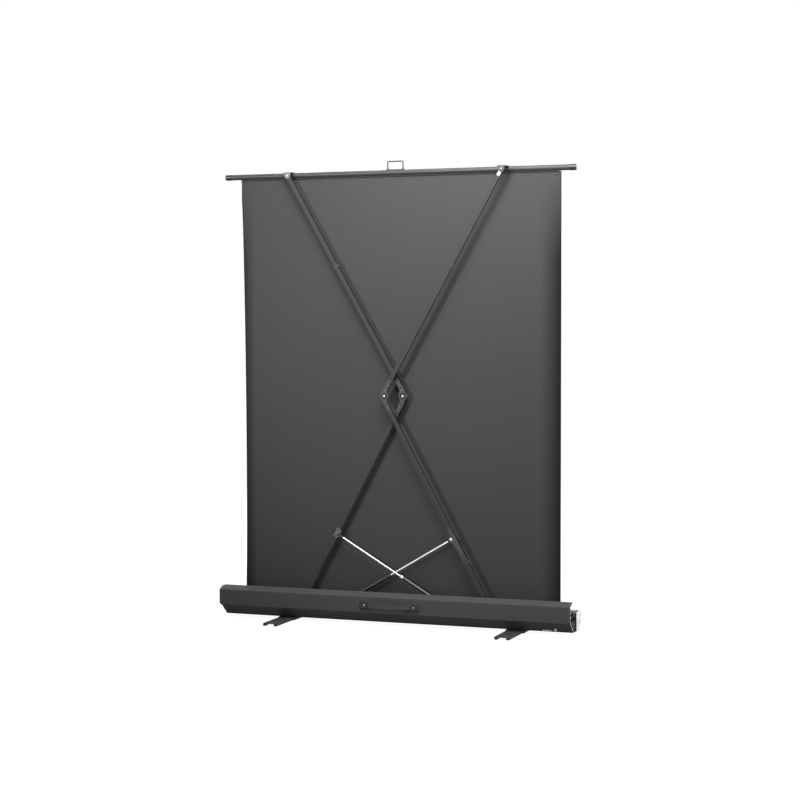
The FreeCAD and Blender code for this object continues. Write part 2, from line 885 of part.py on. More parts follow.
def right_bracket():
    """Long plate on the rear face of the right lower arm, humped round the bolt."""
    back = -half_arm
    edge = arm_width / 2 - bracket_edge_margin
    outline = [
        (right_bracket_start, edge),
        (right_bracket_start, -edge),
        (right_bracket_end, -edge),
        (right_bracket_end, edge),
    ]
    plate = prism_y(outline, back - bracket_thickness, back)
    ear_end = strut_bolt_along + eye_radius * 2
    ear = bracket_ear(strut_bolt_along - hump_length, ear_end, back - bracket_thickness, back)
    plate = bracket_hole(plate.fuse(ear).removeSplitter())
    for x in right_bracket_rivets():
        plate = plate.cut(rod_y(rivet_radius, x, 0, -overrun, overrun))
    return plate


def right_bracket_rivets():
    """Rivet places of the long plate, two at each end."""
    inset = rivet_head_radius * 2
    return [
        right_bracket_start + inset,
        right_bracket_start + inset * 3,
        right_bracket_end - inset * 3,
        right_bracket_end - inset,
    ]


def make_left_leg():
    """Leg that starts at the left base, bends at the right and ends top left."""
    tube = arm_tube(lower_reach, pin_radius + pin_fit)
    rivets = elbow_rivets(lower_reach)
    for x in left_bracket_rivets():
        tube = tube.cut(rod_y(rivet_radius, x, 0, -overrun, 0))
        rivets.append(rivet_from_back(x))
    save(place_lower(tube, left_leg_y), "left_lower_arm_tube")
    save(place_lower(group(strap_pair(lower_reach, False)), left_leg_y), "left_lower_arm_straps")
    save(place_lower(group(rivets), left_leg_y), "left_lower_arm_rivets")
    save(place_lower(elbow_pin(lower_reach), left_leg_y), "left_elbow_pin")
    stud = rod_y(
        strut_bolt_radius,
        strut_bolt_along,
        -strut_bolt_off,
        strut_plane_shift + eye_thickness / 2 + side_gap - leg_pitch,
        -half_arm,
    )
    save(place_lower(left_bracket().fuse(stud), left_leg_y), "left_strut_bracket")

    save(place_upper(arm_tube(upper_reach, pin_radius + pin_fit), left_leg_y), "left_upper_arm_tube")
    save(place_upper(group(strap_pair(upper_reach, True)), left_leg_y), "left_upper_arm_straps")
    save(place_upper(group(elbow_rivets(upper_reach)), left_leg_y), "left_upper_arm_rivets")
    save(place_upper(bumper(upper_bumper_along, -1), left_leg_y), "left_arm_bumper")


def rivet_from_back(x):
    """Blind rivet that holds a rear plate to the tube's rear wall."""
    head = domed_screw(rivet_head_radius, rivet_head_height)
    low = -half_arm - bracket_thickness
    shank = rod_y(rivet_radius, x, 0, low, arm_wall - half_arm)
    return shank.fuse(face_screw(head, Vector(x, low, 0), Vector(0, -1, 0))).removeSplitter()


def make_right_leg():
    """Mirror of the left leg in its own plane nearer the rear."""
    tube = arm_tube(lower_reach, pin_radius + pin_fit)
    rivets = elbow_rivets(lower_reach)
    for x in right_bracket_rivets():
        tube = tube.cut(rod_y(rivet_radius, x, 0, -overrun, 0))
        rivets.append(rivet_from_back(x))
    lower = lambda shape: half_turn(place_lower(shape, right_leg_y))
    upper = lambda shape: half_turn(place_upper(shape, right_leg_y))
    save(lower(tube), "right_lower_arm_tube")
    save(lower(group(strap_pair(lower_reach, False))), "right_lower_arm_straps")
    save(lower(group(rivets)), "right_lower_arm_rivets")
    save(lower(elbow_pin(lower_reach)), "right_elbow_pin")
    save(lower(bumper(lower_bumper_along, -1)), "right_lower_arm_bumper")
    plate_back = -half_arm - bracket_thickness
    shank = rod_y(
        strut_bolt_radius,
        strut_bolt_along,
        -strut_bolt_off,
        plate_back,
        leg_pitch + strut_plane_shift - eye_thickness / 2 - side_gap,
    )
    head = face_screw(
        domed_screw(strut_bolt_head_radius, strut_bolt_head_height),
        Vector(strut_bolt_along, plate_back, -strut_bolt_off),
        Vector(0, -1, 0),
    )
    save(lower(right_bracket()), "right_strut_bracket")
    save(lower(shank.fuse(head)), "right_strut_bolt")

    save(upper(arm_tube(upper_reach, pin_radius + open_pivot_clearance)), "right_upper_arm_tube")
    save(upper(group(strap_pair(upper_reach, True))), "right_upper_arm_straps")
    save(upper(group(elbow_rivets(upper_reach))), "right_upper_arm_rivets")
    save(upper(bumper(upper_bumper_along, -1)), "right_arm_bumper")


def make_bases(rear):
    """Fork brackets on the case floor that carry the two lower arms."""
    bases = []
    pins = []
    cavity = rear_cavity()
    for x, leg_y in ((-base_pivot_x, left_leg_y), (base_pivot_x, right_leg_y)):
        fork = fork_bracket(x, leg_y, base_length, half_arm + side_gap, base_z, base_top_radius)
        bases.append(fork.common(cavity).cut(rear))
        pins.append(fork_pin(x, leg_y, base_z, half_arm + side_gap))
    half_eye = eye_thickness / 2 + side_gap
    for x, strut_y in ((-strut_anchor_x, right_strut_y), (strut_anchor_x, left_strut_y)):
        fork = fork_bracket(x, strut_y, anchor_length, half_eye, anchor_z, anchor_top_radius)
        bases.append(fork.common(cavity).cut(rear))
        pins.append(fork_pin(x, strut_y, anchor_z, half_eye))
    save(group(bases), "floor_fork_brackets")
    save(group(pins), "pivot_pins")


def fork_bracket(x, y, length, half_gap, pivot_z, top_radius):
    """Folded fork: a floor plate and two cheeks rounded over the pin."""
    half = length / 2
    cheeks = []
    for near in (y - half_gap - cheek_thickness, y + half_gap):
        left = tangent_point((x - half, floor_z), (x, pivot_z), top_radius, True)
        right = (x * 2 - left[0], left[1])
        outline = [(x - half, floor_z), left, right, (x + half, floor_z)]
        cheek = prism_y(outline, near, near + cheek_thickness)
        cheeks.append(cheek.fuse(rod_y(top_radius, x, pivot_z, near, near + cheek_thickness)))
    plate = Part.makeBox(
        length,
        half_gap * 2,
        base_plate_thickness,
        Vector(x - half, y - half_gap, floor_z),
    )
    fork = plate.fuse(cheeks).removeSplitter()
    return fork.cut(rod_y(pin_radius, x, pivot_z, y - overrun, y + overrun))


def fork_pin(x, y, z, half_gap):
    """Pin of a fork bracket, flush in its cheeks with a thin rear head."""
    edge = half_gap + cheek_thickness
    pin = rod_y(pin_radius, x, z, y - edge, y + edge)
    head = rod_y(pin_head_radius, x, z, y - edge - pin_head_height / 2, y - edge)
    return pin.fuse(head).removeSplitter()


# Gas struts

def strut_line():
    """Length and slope of the raised strut, from its anchor to its bolt."""
    lean = lower_angle - math.asin(elbow_offset / lower_link)
    x = -base_pivot_x + strut_bolt_along * math.cos(lean) + strut_bolt_off * math.sin(lean)
    z = base_z + strut_bolt_along * math.sin(lean) - strut_bolt_off * math.cos(lean)
    run_x = strut_anchor_x - x
    run_z = z - anchor_z
    return math.hypot(run_x, run_z), math.atan2(run_z, run_x)


def place_strut(shape, leg_y):
    """Lean a strut built along +X from its anchor toward the upper left."""
    slope = math.degrees(strut_line()[1])
    moved = shape.copy()
    turn = FreeCAD.Rotation(Vector(0, 1, 0), slope - 180)
    place = FreeCAD.Placement(Vector(strut_anchor_x, leg_y, anchor_z), turn)
    moved.Placement = place.multiply(moved.Placement)
    return moved


def eye(x, hole):
    """Flat ring across the strut's line."""
    half = eye_thickness / 2
    return rod_y(eye_radius, x, 0, -half, half).cut(rod_y(hole, x, 0, -overrun, overrun))


def strut_cylinder():
    """Closed tube with its anchor eye."""
    body = rod_x(cylinder_radius, cylinder_start, cylinder_length - collar_length, 0, 0)
    bore = rod_x(cylinder_bore, cylinder_start * 2, cylinder_length, 0, 0)
    body = body.cut(bore)
    half = eye_thickness / 2
    neck = Part.makeBox(
        cylinder_start * 2 - pin_radius,
        eye_thickness,
        eye_radius,
        Vector(pin_radius, -half, -eye_radius / 2),
    )
    hole = rod_y(pin_radius + pin_fit, 0, 0, -overrun, overrun)
    tail = eye(0, pin_radius + pin_fit).fuse(neck).cut(hole)
    return body.fuse(tail.cut(bore)).removeSplitter()


def strut_collar():
    """Bright rounded gland that closes the cylinder round its rod."""
    start = cylinder_length - collar_length
    round_end = collar_length / 3
    profile = [
        Vector(start, collar_bore, 0),
        Vector(start, cylinder_radius, 0),
        Vector(start + round_end, collar_radius, 0),
        Vector(cylinder_length - round_end, collar_radius, 0),
        Vector(cylinder_length, collar_radius - round_end / 2, 0),
        Vector(cylinder_length, collar_bore, 0),
    ]
    face = Part.Face(Part.makePolygon(profile + profile[:1]))
    return face.revolve(Vector(0, 0, 0), Vector(1, 0, 0), 360)


def strut_rod():
    """Chromed rod with the piston that stays inside the cylinder."""
    length = strut_line()[0]
    start = cylinder_length - collar_length - rod_inside
    rod = rod_x(rod_radius, start, length - rod_neck_length, 0, 0)
    return rod.fuse(rod_x(piston_radius, start, start + piston_length, 0, 0)).removeSplitter()


def rod_end():
    """Black end fitting: a tapered neck that flattens into an eye."""
    length = strut_line()[0]
    start = length - rod_neck_length
    along = Vector(1, 0, 0)
    neck = Part.makeCone(rod_neck_radius, eye_thickness / 2, rod_neck_length, Vector(start, 0, 0), along)
    ring = rod_y(eye_radius, length, 0, -eye_thickness / 2, eye_thickness / 2)
    return neck.fuse(ring).cut(rod_y(eye_hole, length, 0, -overrun, overrun)).removeSplitter()


def make_struts():
    """Left strut in the right leg's plane, right strut in the left leg's plane."""
    pieces = (
        ("strut_cylinder", strut_cylinder()),
        ("strut_collar", strut_collar()),
        ("strut_rod", strut_rod()),
        ("strut_rod_end", rod_end()),
    )
    for name, shape in pieces:
        save(place_strut(shape, left_strut_y), "left_" + name)
        save(half_turn(place_strut(shape, right_strut_y)), "right_" + name)


# Top bar

def make_bar():
    """Round top bar with end caps and the strip that grips the fabric."""
    inner_half = case_half - bar_cap_length
    tube = rod_x(bar_radius, -inner_half, inner_half, fabric_plane_y, bar_z)
    tube = tube.cut(rod_x(bar_radius - bar_wall, -case_half, case_half, fabric_plane_y, bar_z))
    save(tube, "top_bar_tube")

    cap = rod_x(bar_radius + bar_cap_extra, inner_half, case_half, fabric_plane_y, bar_z)
    outer_rim = lambda edge: abs(edge.CenterOfMass.x - case_half) < bar_wall / 2
    cap = rounded(cap, bar_radius / 5, outer_rim)
    plug = rod_x(bar_radius - bar_wall, inner_half - bar_cap_length / 2, inner_half, fabric_plane_y, bar_z)
    cap = cap.fuse(plug).removeSplitter()
    save(group([cap, half_turn(cap)]), "top_bar_end_caps")

    half = clamp_width / 2
    low = bar_z - bar_radius - clamp_height
    strip = prism_x(
        [
            (fabric_plane_y - half / 2, low),
            (fabric_plane_y + half / 2, low),
            (fabric_plane_y + half, low + clamp_height / 3),
            (fabric_plane_y + half, bar_z),
            (fabric_plane_y - half, bar_z),
            (fabric_plane_y - half, low + clamp_height / 3),
        ],
        -fabric_width / 2,
        fabric_width / 2,
    )
    strip = strip.cut(rod_x(bar_radius, -case_half, case_half, fabric_plane_y, bar_z))
    strip = strip.cut(
        prism_x(
            [
                (fabric_plane_y - clamp_slot / 2, low - overrun),
                (fabric_plane_y + clamp_slot / 2, low - overrun),
                (fabric_plane_y + clamp_slot / 2, low + clamp_grip),
                (fabric_plane_y - clamp_slot / 2, low + clamp_grip),
            ],
            -case_half,
            case_half,
        )
    )
    save(strip, "fabric_clamp_strip")


def top_bracket(leg_y):
    """Folded plate behind the arm that runs over the bar and hooks in front of it."""
    rear = leg_y - half_arm - side_gap
    over = bar_z + bar_radius
    front = fabric_plane_y + bar_radius
    path = [
        (rear, top_pivot_z - top_bracket_drop),
        (rear, over),
        (front, over),
        (front, over - top_bracket_hook),
    ]
    blank = prism_x(sheet_profile(path, top_bracket_thickness), -top_bracket_width, top_bracket_width)
    high = over + overrun
    low = top_pivot_z - top_bracket_drop
    plan = [
        (-top_bracket_tip_width / 2, low),
        (top_bracket_tip_width / 2, low),
        (top_bracket_width / 2, over),
        (top_bracket_width / 2, high),
        (-top_bracket_width / 2, high),
        (-top_bracket_width / 2, over),
    ]
    cutter = prism_y(plan, rear - overrun, front + overrun)
    tip = lambda edge: edge_runs(edge, Vector(0, 1, 0)) and edge.CenterOfMass.z < top_pivot_z
    cutter = rounded(cutter, top_bracket_tip_width / 4, tip)
    bracket = blank.common(cutter)
    return bracket.cut(rod_y(pin_radius, 0, top_pivot_z, rear - overrun, leg_y))


def top_screw(leg_y):
    """Pivot screw: bright head behind the bracket, shank through the arm, nut in front."""
    rear = leg_y - half_arm - side_gap - top_bracket_thickness
    front = leg_y + half_arm + side_gap
    shank = rod_y(pin_radius, 0, top_pivot_z, rear, front)
    head = face_screw(
        domed_screw(pin_head_radius, pin_head_height * 3 / 2), Vector(0, rear, top_pivot_z), Vector(0, -1, 0)
    )
    nut = rod_y(pin_head_radius, 0, top_pivot_z, front, front + pin_head_height)
    return shank.fuse([head, nut]).removeSplitter()


def make_top_brackets():
    """Left and right brackets and their pivot screws."""
    save(top_bracket(left_leg_y).translated(Vector(-top_pivot_x, 0, 0)), "left_top_bracket")
    save(top_bracket(right_leg_y).translated(Vector(top_pivot_x, 0, 0)), "right_top_bracket")
    screws = [
        top_screw(left_leg_y).translated(Vector(-top_pivot_x, 0, 0)),
        top_screw(right_leg_y).translated(Vector(top_pivot_x, 0, 0)),
    ]
    save(group(screws), "top_pivot_screws")


def make_pull_handle():
    """Bent wire loop standing on a saddle clip in the middle of the bar."""
    foot_z = bar_z + bar_radius + pull_clip_thickness
    top_z = foot_z + pull_height
    legs = [
        Vector(-pull_half_span, fabric_plane_y, foot_z),
        Vector(-pull_half_span, fabric_plane_y, top_z),
        Vector(pull_half_span, fabric_plane_y, top_z),
        Vector(pull_half_span, fabric_plane_y, foot_z),
    ]
    wire = bent_wire(legs, [0, pull_corner, pull_corner, 0])
    spine = Part.Wire(wire)
    section = []
    for side in range(pull_wire_sides + 1):
        turn = math.pi * 2 * side / pull_wire_sides
        section.append(legs[0] + Vector(math.cos(turn), math.sin(turn), 0) * pull_wire_radius)
    loop = spine.makePipeShell([Part.makePolygon(section)], True, True)
    save(loop, "pull_handle_wire")

    saddle = Part.makeBox(
        pull_clip_half_length * 2,
        pull_clip_width,
        bar_radius + pull_clip_thickness,
        Vector(-pull_clip_half_length, fabric_plane_y - pull_clip_width / 2, bar_z),
    )
    saddle = saddle.cut(rod_x(bar_radius, -case_half, case_half, fabric_plane_y, bar_z))
    sockets = []
    for x in (-pull_half_span, pull_half_span):
        sockets.append(rod_z(pull_socket_radius, x, fabric_plane_y, foot_z, foot_z + pull_socket_height))
    saddle = saddle.fuse(sockets).removeSplitter()
    saddle = saddle.cut(loop)
    save(saddle, "pull_handle_clip")


def bent_wire(corners, radii):
    """Edges of straight runs joined by tangent arcs at the inner corners."""
    edges = []
    start = corners[0]
    for index in range(1, len(corners) - 1):
        corner = corners[index]
        into = (corner - corners[index - 1]).normalize()
        away = (corners[index + 1] - corner).normalize()
        turn = into.getAngle(away)
        trim = radii[index] * math.tan(turn / 2)
        first = corner - into * trim
        last = corner + away * trim
        bisector = (away - into).normalize()
        middle = corner + bisector * (radii[index] / math.cos(turn / 2) - radii[index])
        edges.append(Part.LineSegment(start, first).toShape())
        edges.append(Part.Arc(first, middle, last).toShape())
        start = last
    edges.append(Part.LineSegment(start, corners[-1]).toShape())
    return edges


# Roller and fabric

def make_roller():
    """Spring roller with its plugs, the wound fabric and the spring inside."""
    half = roller_length / 2
    body = rod_x(roller_tube_radius, -half, half, roller_y, roller_z)
    tube = body.cut(rod_x(roller_tube_radius - roller_tube_wall, -case_half, case_half, roller_y, roller_z))
    save(tube, "roller_tube")

    fabric_half = fabric_width / 2
    wrap = rod_x(roller_tube_radius + roller_wrap, -fabric_half, fabric_half, roller_y, roller_z)
    wrap = wrap.cut(rod_x(roller_tube_radius, -case_half, case_half, roller_y, roller_z))
    save(wrap, "wound_fabric")

    plug = rod_x(roller_tube_radius - roller_tube_wall, half - roller_plug_length, half, roller_y, roller_z)
    flange = rod_x(roller_tube_radius, half, half + roller_plug_flange, roller_y, roller_z)
    axle_hole = rod_x(axle_radius + pin_fit, half - axle_depth - overrun, case_half, roller_y, roller_z)
    plug = plug.fuse(flange).cut(axle_hole)
    save(group([plug, half_turn(plug)]), "roller_end_plugs")

    spring_end = half - axle_depth - roller_plug_length / 2
    spring = rod_x(spring_radius, spring_end - spring_length, spring_end, roller_y, roller_z)
    spring = spring.cut(rod_x(spring_radius - spring_wall, 0, case_half, roller_y, roller_z))
    holder_end = spring_end - spring_length
    holder_start = holder_end - roller_plug_flange * 2
    holder = rod_x(roller_tube_radius - roller_tube_wall, holder_start, holder_end, roller_y, roller_z)
    save(spring.fuse(holder).removeSplitter(), "roller_spring")


def make_fabric():
    """Flat screen fabric from the roller up into the clamp strip."""
    half = fabric_width / 2
    thick = fabric_thickness / 2
    top = bar_z - bar_radius - clamp_height + clamp_grip - side_gap
    sheet = Part.makeBox(
        half * 2,
        thick * 2,
        top - roller_z,
        Vector(-half, fabric_plane_y - thick, roller_z),
    )
    save(sheet, "screen_fabric")


def main():
    """Build every sub-part of the screen."""
    os.makedirs("parts", exist_ok=True)
    rear = rear_shell()
    make_case(rear)
    make_ends(rear)
    make_case_screws()
    make_clip_plate()
    make_grip()
    make_feet()
    make_bases(rear)
    make_left_leg()
    make_right_leg()
    make_struts()
    make_bar()
    make_top_brackets()
    make_pull_handle()
    make_roller()
    make_fabric()
    length, slope = strut_line()
    print("top pivot z", round(top_pivot_z, 2), "bar z", round(bar_z, 2), "elbow z", round(elbow_z, 2))
    print("arm angles", round(math.degrees(lower_angle), 3), round(math.degrees(upper_angle), 3))
    print("strut length and slope", round(length, 2), round(math.degrees(slope), 3))


main()
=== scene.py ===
"""Looks of a floor-standing pull-up projection screen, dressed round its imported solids."""

import logging
import math
from dataclasses import dataclass, field
from enum import Enum, IntEnum

import bmesh
import bpy
from mathutils import Matrix, Vector


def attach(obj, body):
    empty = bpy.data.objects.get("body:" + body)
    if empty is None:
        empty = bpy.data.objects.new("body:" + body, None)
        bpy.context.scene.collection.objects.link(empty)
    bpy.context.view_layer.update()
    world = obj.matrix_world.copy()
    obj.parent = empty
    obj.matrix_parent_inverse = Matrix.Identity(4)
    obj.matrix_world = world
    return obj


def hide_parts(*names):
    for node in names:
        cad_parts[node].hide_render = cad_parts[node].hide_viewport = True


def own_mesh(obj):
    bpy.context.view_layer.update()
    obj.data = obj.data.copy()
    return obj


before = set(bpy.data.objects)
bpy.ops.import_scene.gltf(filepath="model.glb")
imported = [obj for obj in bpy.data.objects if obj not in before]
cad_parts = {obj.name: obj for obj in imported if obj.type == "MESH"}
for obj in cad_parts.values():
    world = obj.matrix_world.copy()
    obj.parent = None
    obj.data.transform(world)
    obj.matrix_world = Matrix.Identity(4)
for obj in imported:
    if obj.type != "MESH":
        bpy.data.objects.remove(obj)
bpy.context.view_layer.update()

log = logging.getLogger("projection_screen")

Colour = tuple[float, float, float, float]
Point = tuple[float, float, float]
Pair = tuple[float, float]
Pairs = tuple[Pair, ...]
Outline = list[Pair]
Socket = bpy.types.NodeSocket
Sockets = bpy.types.NodeOutputs

BLACK: Colour = (0.0, 0.0, 0.0, 1.0)
WHITE: Colour = (1.0, 1.0, 1.0, 1.0)
MERGE_REACH = 1e-7


class Side(Enum):
    """Which end of the case a piece belongs to, as the sign of its X."""

    LEFT = -1
    RIGHT = 1

    @property
    def word(self) -> str:
        """Name of the side as the pieces use it."""
        return self.name.lower()


class Run(Enum):
    """Direction that rolled or brushed lines follow, as noise scales along X, Y and Z."""

    ALONG_X = (6.0, 900.0, 900.0)
    ALONG_Z = (900.0, 900.0, 6.0)
    AROUND = (420.0, 420.0, 420.0)


class ClothSlot(IntEnum):
    """Material slots of the screen cloth."""

    BACK = 0
    FRONT = 1
    BORDER = 2
    EDGE = 3


def tint(red: float, green: float | None = None, blue: float | None = None) -> Colour:
    """Turn screen levels from 0 to 255 into a shader colour.

    Args:
        red: level of red, or of all three where it stands alone.
        green: level of green.
        blue: level of blue.

    Returns:
        The linear colour with full alpha.
    """
    levels = (red, red if green is None else green, red if blue is None else blue)
    shares = [level / 255 for level in levels]
    linear = [s / 12.92 if s <= 0.04045 else ((s + 0.055) / 1.055) ** 2.4 for s in shares]
    return (*linear, 1.0)


def toned(colour: Colour, factor: float) -> Colour:
    """Make a colour darker or lighter by a factor, up to white."""
    return (*(min(c * factor, 1.0) for c in colour[:3]), 1.0)


class Graph:
    """Adds and joins the nodes of one shader tree."""

    def __init__(self, tree: bpy.types.NodeTree) -> None:
        """Keep the tree that the nodes go into."""
        self.tree = tree

    def node(self, kind: str, **settings: object) -> bpy.types.Node:
        """Add one node.

        Args:
            kind: node type without its ShaderNode prefix.
            settings: properties to set on the node.

        Returns:
            The new node.
        """
        made = self.tree.nodes.new(f"ShaderNode{kind}")
        for name, value in settings.items():
            setattr(made, name, value)
        return made

    def feed(self, socket: Socket, value: object) -> None:
        """Link a socket to another one, or set it to a plain value."""
        if isinstance(value, Socket):
            self.tree.links.new(value, socket)
        else:
            socket.default_value = value

    def supply(self, node: bpy.types.Node, **values: object) -> bpy.types.Node:
        """Feed inputs of a node by their names, with underscores for spaces, and give it back."""
        for name, value in values.items():
            self.feed(node.inputs[name.replace("_", " ")], value)
        return node

    def work_out(self, made: bpy.types.Node, values: tuple, output: str) -> Socket:
        """Feed a node's inputs in their order and give one of its outputs."""
        for socket, value in zip(made.inputs, values):
            self.feed(socket, value)
        return made.outputs[output]

    def math(self, operation: str, *values: object, clamp: bool = False) -> Socket:
        """Work out one sum of the Math node from sockets or numbers."""
        return self.work_out(self.node("Math", operation=operation, use_clamp=clamp), values, "Value")

    def vector(self, operation: str, *values: object, output: str = "Value") -> Socket:
        """Work out one sum of the Vector Math node, and give its value or its vector."""
        return self.work_out(self.node("VectorMath", operation=operation), values, output)

    def blend(self, share: object, low: object, high: object) -> Socket:
        """Mix two colours.

        Args:
            share: how much of the second colour shows, from 0 to 1.
            low: colour at 0.
            high: colour at 1.

        Returns:
            The socket of the mixed colour.
        """
        made = self.node("Mix", data_type="RGBA")
        for index, value in ((0, share), (6, low), (7, high)):
            self.feed(made.inputs[index], value)
        return made.outputs[2]

    def waver(self, share: object, colour: Colour, below: float, above: float = 0.0) -> Socket:
        """Mix a darker and a lighter tone of one colour."""
        return self.blend(share, toned(colour, 1 - below), toned(colour, 1 + above))

    def ramp(self, value: object, low: float, high: float, start: float = 0.0, end: float = 1.0) -> Socket:
        """Stretch a value that goes from start to end, so that it goes from low to high."""
        limits = {"From_Min": start, "From_Max": end, "To_Min": low, "To_Max": high}
        return self.supply(self.node("MapRange"), Value=value, **limits).outputs[0]

    def place(self) -> Socket:
        """Give the place on the piece, in its own coordinates."""
        return self.node("TexCoord").outputs["Object"]

    def normal(self, kind: str = "Normal") -> Socket:
        """Give the smoothed normal, or the one that is named."""
        return self.node("NewGeometry").outputs[kind]

    def rounded(self, radius: object) -> Socket:
        """Give the normal as if edges were rounded over a radius."""
        return self.supply(self.node("Bevel", samples=4), Radius=radius).outputs[0]

    def split(self, vector: Socket) -> Sockets:
        """Give the X, Y and Z of a vector."""
        return self.supply(self.node("SeparateXYZ"), Vector=vector).outputs

    def noise(self, place: Socket, scale: object, detail: float) -> Socket:
        """Add a noise and give its value from 0 to 1."""
        return self.supply(self.node("TexNoise"), Vector=place, Scale=scale, Detail=detail).outputs["Fac"]

    def use(self, effect: "Effect", **values: object) -> Sockets:
        """Place a shared effect in this tree with its own values, and give its outputs."""
        return self.supply(self.node("Group", node_tree=effect.tree()), **values).outputs


class Effect:
    """A surface effect that several materials share, kept as one node group."""

    name = ""
    inputs: tuple[str, ...] = ()
    outputs: tuple[str, ...] = ()
    vectors = ("Stretch", "Inward", "Normal")

    def tree(self) -> bpy.types.NodeTree:
        """Find the group, or build it the first time it is asked for.

        Returns:
            The node tree of the group.
        """
        found = bpy.data.node_groups.get(self.name)
        if found:
            return found
        made = bpy.data.node_groups.new(self.name, "ShaderNodeTree")
        for way, labels in (("INPUT", self.inputs), ("OUTPUT", self.outputs)):
            for label in labels:
                kind = "NodeSocketVector" if label in self.vectors else "NodeSocketFloat"
                made.interface.new_socket(name=label, in_out=way, socket_type=kind)
        graph = Graph(made)
        given = made.nodes.new("NodeGroupInput").outputs
        wanted = made.nodes.new("NodeGroupOutput").inputs
        for label, result in zip(self.outputs, self.fill(graph, given)):
            graph.feed(wanted[label], result)
        return made

    def fill(self, graph: Graph, given: Sockets) -> list[Socket]:
        """Build the inside of the group from its inputs, and give one socket for each output."""
        raise NotImplementedError


class Grain(Effect):
    """Fine speckle of paint or moulded plastic, with a slow drift of tone over it."""

    name = "fine_grain"
    inputs = ("Scale", "Drift Scale")
    outputs = ("Speckle", "Drift")
    details = {"Scale": 3.0, "Drift Scale": 2.0}

    def fill(self, graph: Graph, given: Sockets) -> list[Socket]:
        """Build one fine and one wide noise in the piece's own coordinates."""
        place = graph.place()
        return [graph.noise(place, given[label], detail) for label, detail in self.details.items()]


class Lines(Effect):
    """Long fine lines, such as brushing on steel or the draw marks of an extrusion."""

    name = "drawn_lines"
    inputs = ("Stretch",)
    outputs = ("Line",)
    detail = 4.0

    def fill(self, graph: Graph, given: Sockets) -> list[Socket]:
        """Build a noise that is pulled out along one direction."""
        pulled = graph.vector("MULTIPLY", graph.place(), given["Stretch"], output="Vector")
        return [graph.noise(pulled, 1.0, self.detail)]


class EdgeWear(Effect):
    """Places along outer edges where handling has rubbed the finish."""

    name = "edge_wear"
    inputs = ("Width",)
    outputs = ("Worn",)
    patch_scale, patch_detail = 90.0, 5.0
    patch_low, patch_high = -2.0, 9.0

    def fill(self, graph: Graph, given: Sockets) -> list[Socket]:
        """Compare the normal with a rounded one, and break the result up with noise."""
        match = graph.vector("DOT_PRODUCT", graph.rounded(given["Width"]), graph.normal())
        bent = graph.math("SUBTRACT", 1.0, match)
        noise = graph.noise(graph.place(), self.patch_scale, self.patch_detail)
        patchy = graph.math("MULTIPLY", bent, graph.ramp(noise, self.patch_low, self.patch_high))
        return [graph.math("MAXIMUM", patchy, 0.0, clamp=True)]


class Dust(Effect):
    """Pale dust that settles on faces that look up."""

    name = "settled_dust"
    inputs = ("Scale",)
    outputs = ("Dust",)
    patch_detail = 6.0
    patch_low, patch_high = -0.5, 1.5

    def fill(self, graph: Graph, given: Sockets) -> list[Socket]:
        """Multiply the upward share of the normal by a patchy noise."""
        noise = graph.noise(graph.place(), given["Scale"], self.patch_detail)
        patch = graph.ramp(noise, self.patch_low, self.patch_high)
        return [graph.math("MULTIPLY", graph.split(graph.normal())["Z"], patch, clamp=True)]


class BareMetal(Effect):
    """Where an extrusion shows unpainted metal: on its inner faces and its sawn ends."""

    name = "bare_metal"
    inputs = ("Inward", "Beyond")
    outputs = ("Bare",)
    least_match = 0.55

    def fill(self, graph: Graph, given: Sockets) -> list[Socket]:
        """Test the true normal against a direction, and the place along X against a limit."""
        match = graph.vector("DOT_PRODUCT", graph.normal("True Normal"), given["Inward"])
        inside = graph.math("GREATER_THAN", match, self.least_match)
        reach = graph.math("ABSOLUTE", graph.split(graph.place())["X"])
        return [graph.math("MAXIMUM", inside, graph.math("GREATER_THAN", reach, given["Beyond"]))]


class EdgeFaces(Effect):
    """The narrow faces of a flat bar, which look neither forward nor back: where painted shade goes."""

    name = "edge_faces"
    inputs = ("Limit",)
    outputs = ("Edge",)

    def fill(self, graph: Graph, given: Sockets) -> list[Socket]:
        """Test how little the true normal points along Y."""
        turned = graph.math("ABSOLUTE", graph.split(graph.normal("True Normal"))["Y"])
        return [graph.math("LESS_THAN", turned, given["Limit"])]


class SoftEdge(Effect):
    """Normals that round a sharp edge over a small radius."""

    name = "soft_edge"
    inputs = ("Radius",)
    outputs = ("Normal",)

    def fill(self, graph: Graph, given: Sockets) -> list[Socket]:
        """Pass the rounded normal through."""
        return [graph.rounded(given["Radius"])]


class ClothSidePaintedShade(Effect):
    """Painted shade on the band beside each side edge of a hanging cloth, standing in for that band turning
    away from the light.
    """

    name = "cloth_side_painted_shade"
    inputs = ("Right Edge", "Right Reach", "Left Edge", "Left Reach")
    outputs = ("Fade",)
    bend = 1.1
    held_z = 1.99
    release = 2.6

    def fill(self, graph: Graph, given: Sockets) -> list[Socket]:
        """Rise towards both edges along X, and let go near the held top along Z."""
        place = graph.split(graph.place())
        fades = []
        for side, way in (("Right", 1.0), ("Left", -1.0)):
            away = graph.math("MULTIPLY", place["X"], way)
            gap = graph.math("SUBTRACT", given[f"{side} Edge"], away)
            near = graph.math("SUBTRACT", 1.0, graph.math("DIVIDE", gap, given[f"{side} Reach"]), clamp=True)
            fades.append(graph.math("POWER", near, self.bend))
        below = graph.math("SUBTRACT", self.held_z, place["Z"])
        held = graph.math("MULTIPLY", below, self.release, clamp=True)
        return [graph.math("MULTIPLY", graph.math("ADD", *fades, clamp=True), held)]


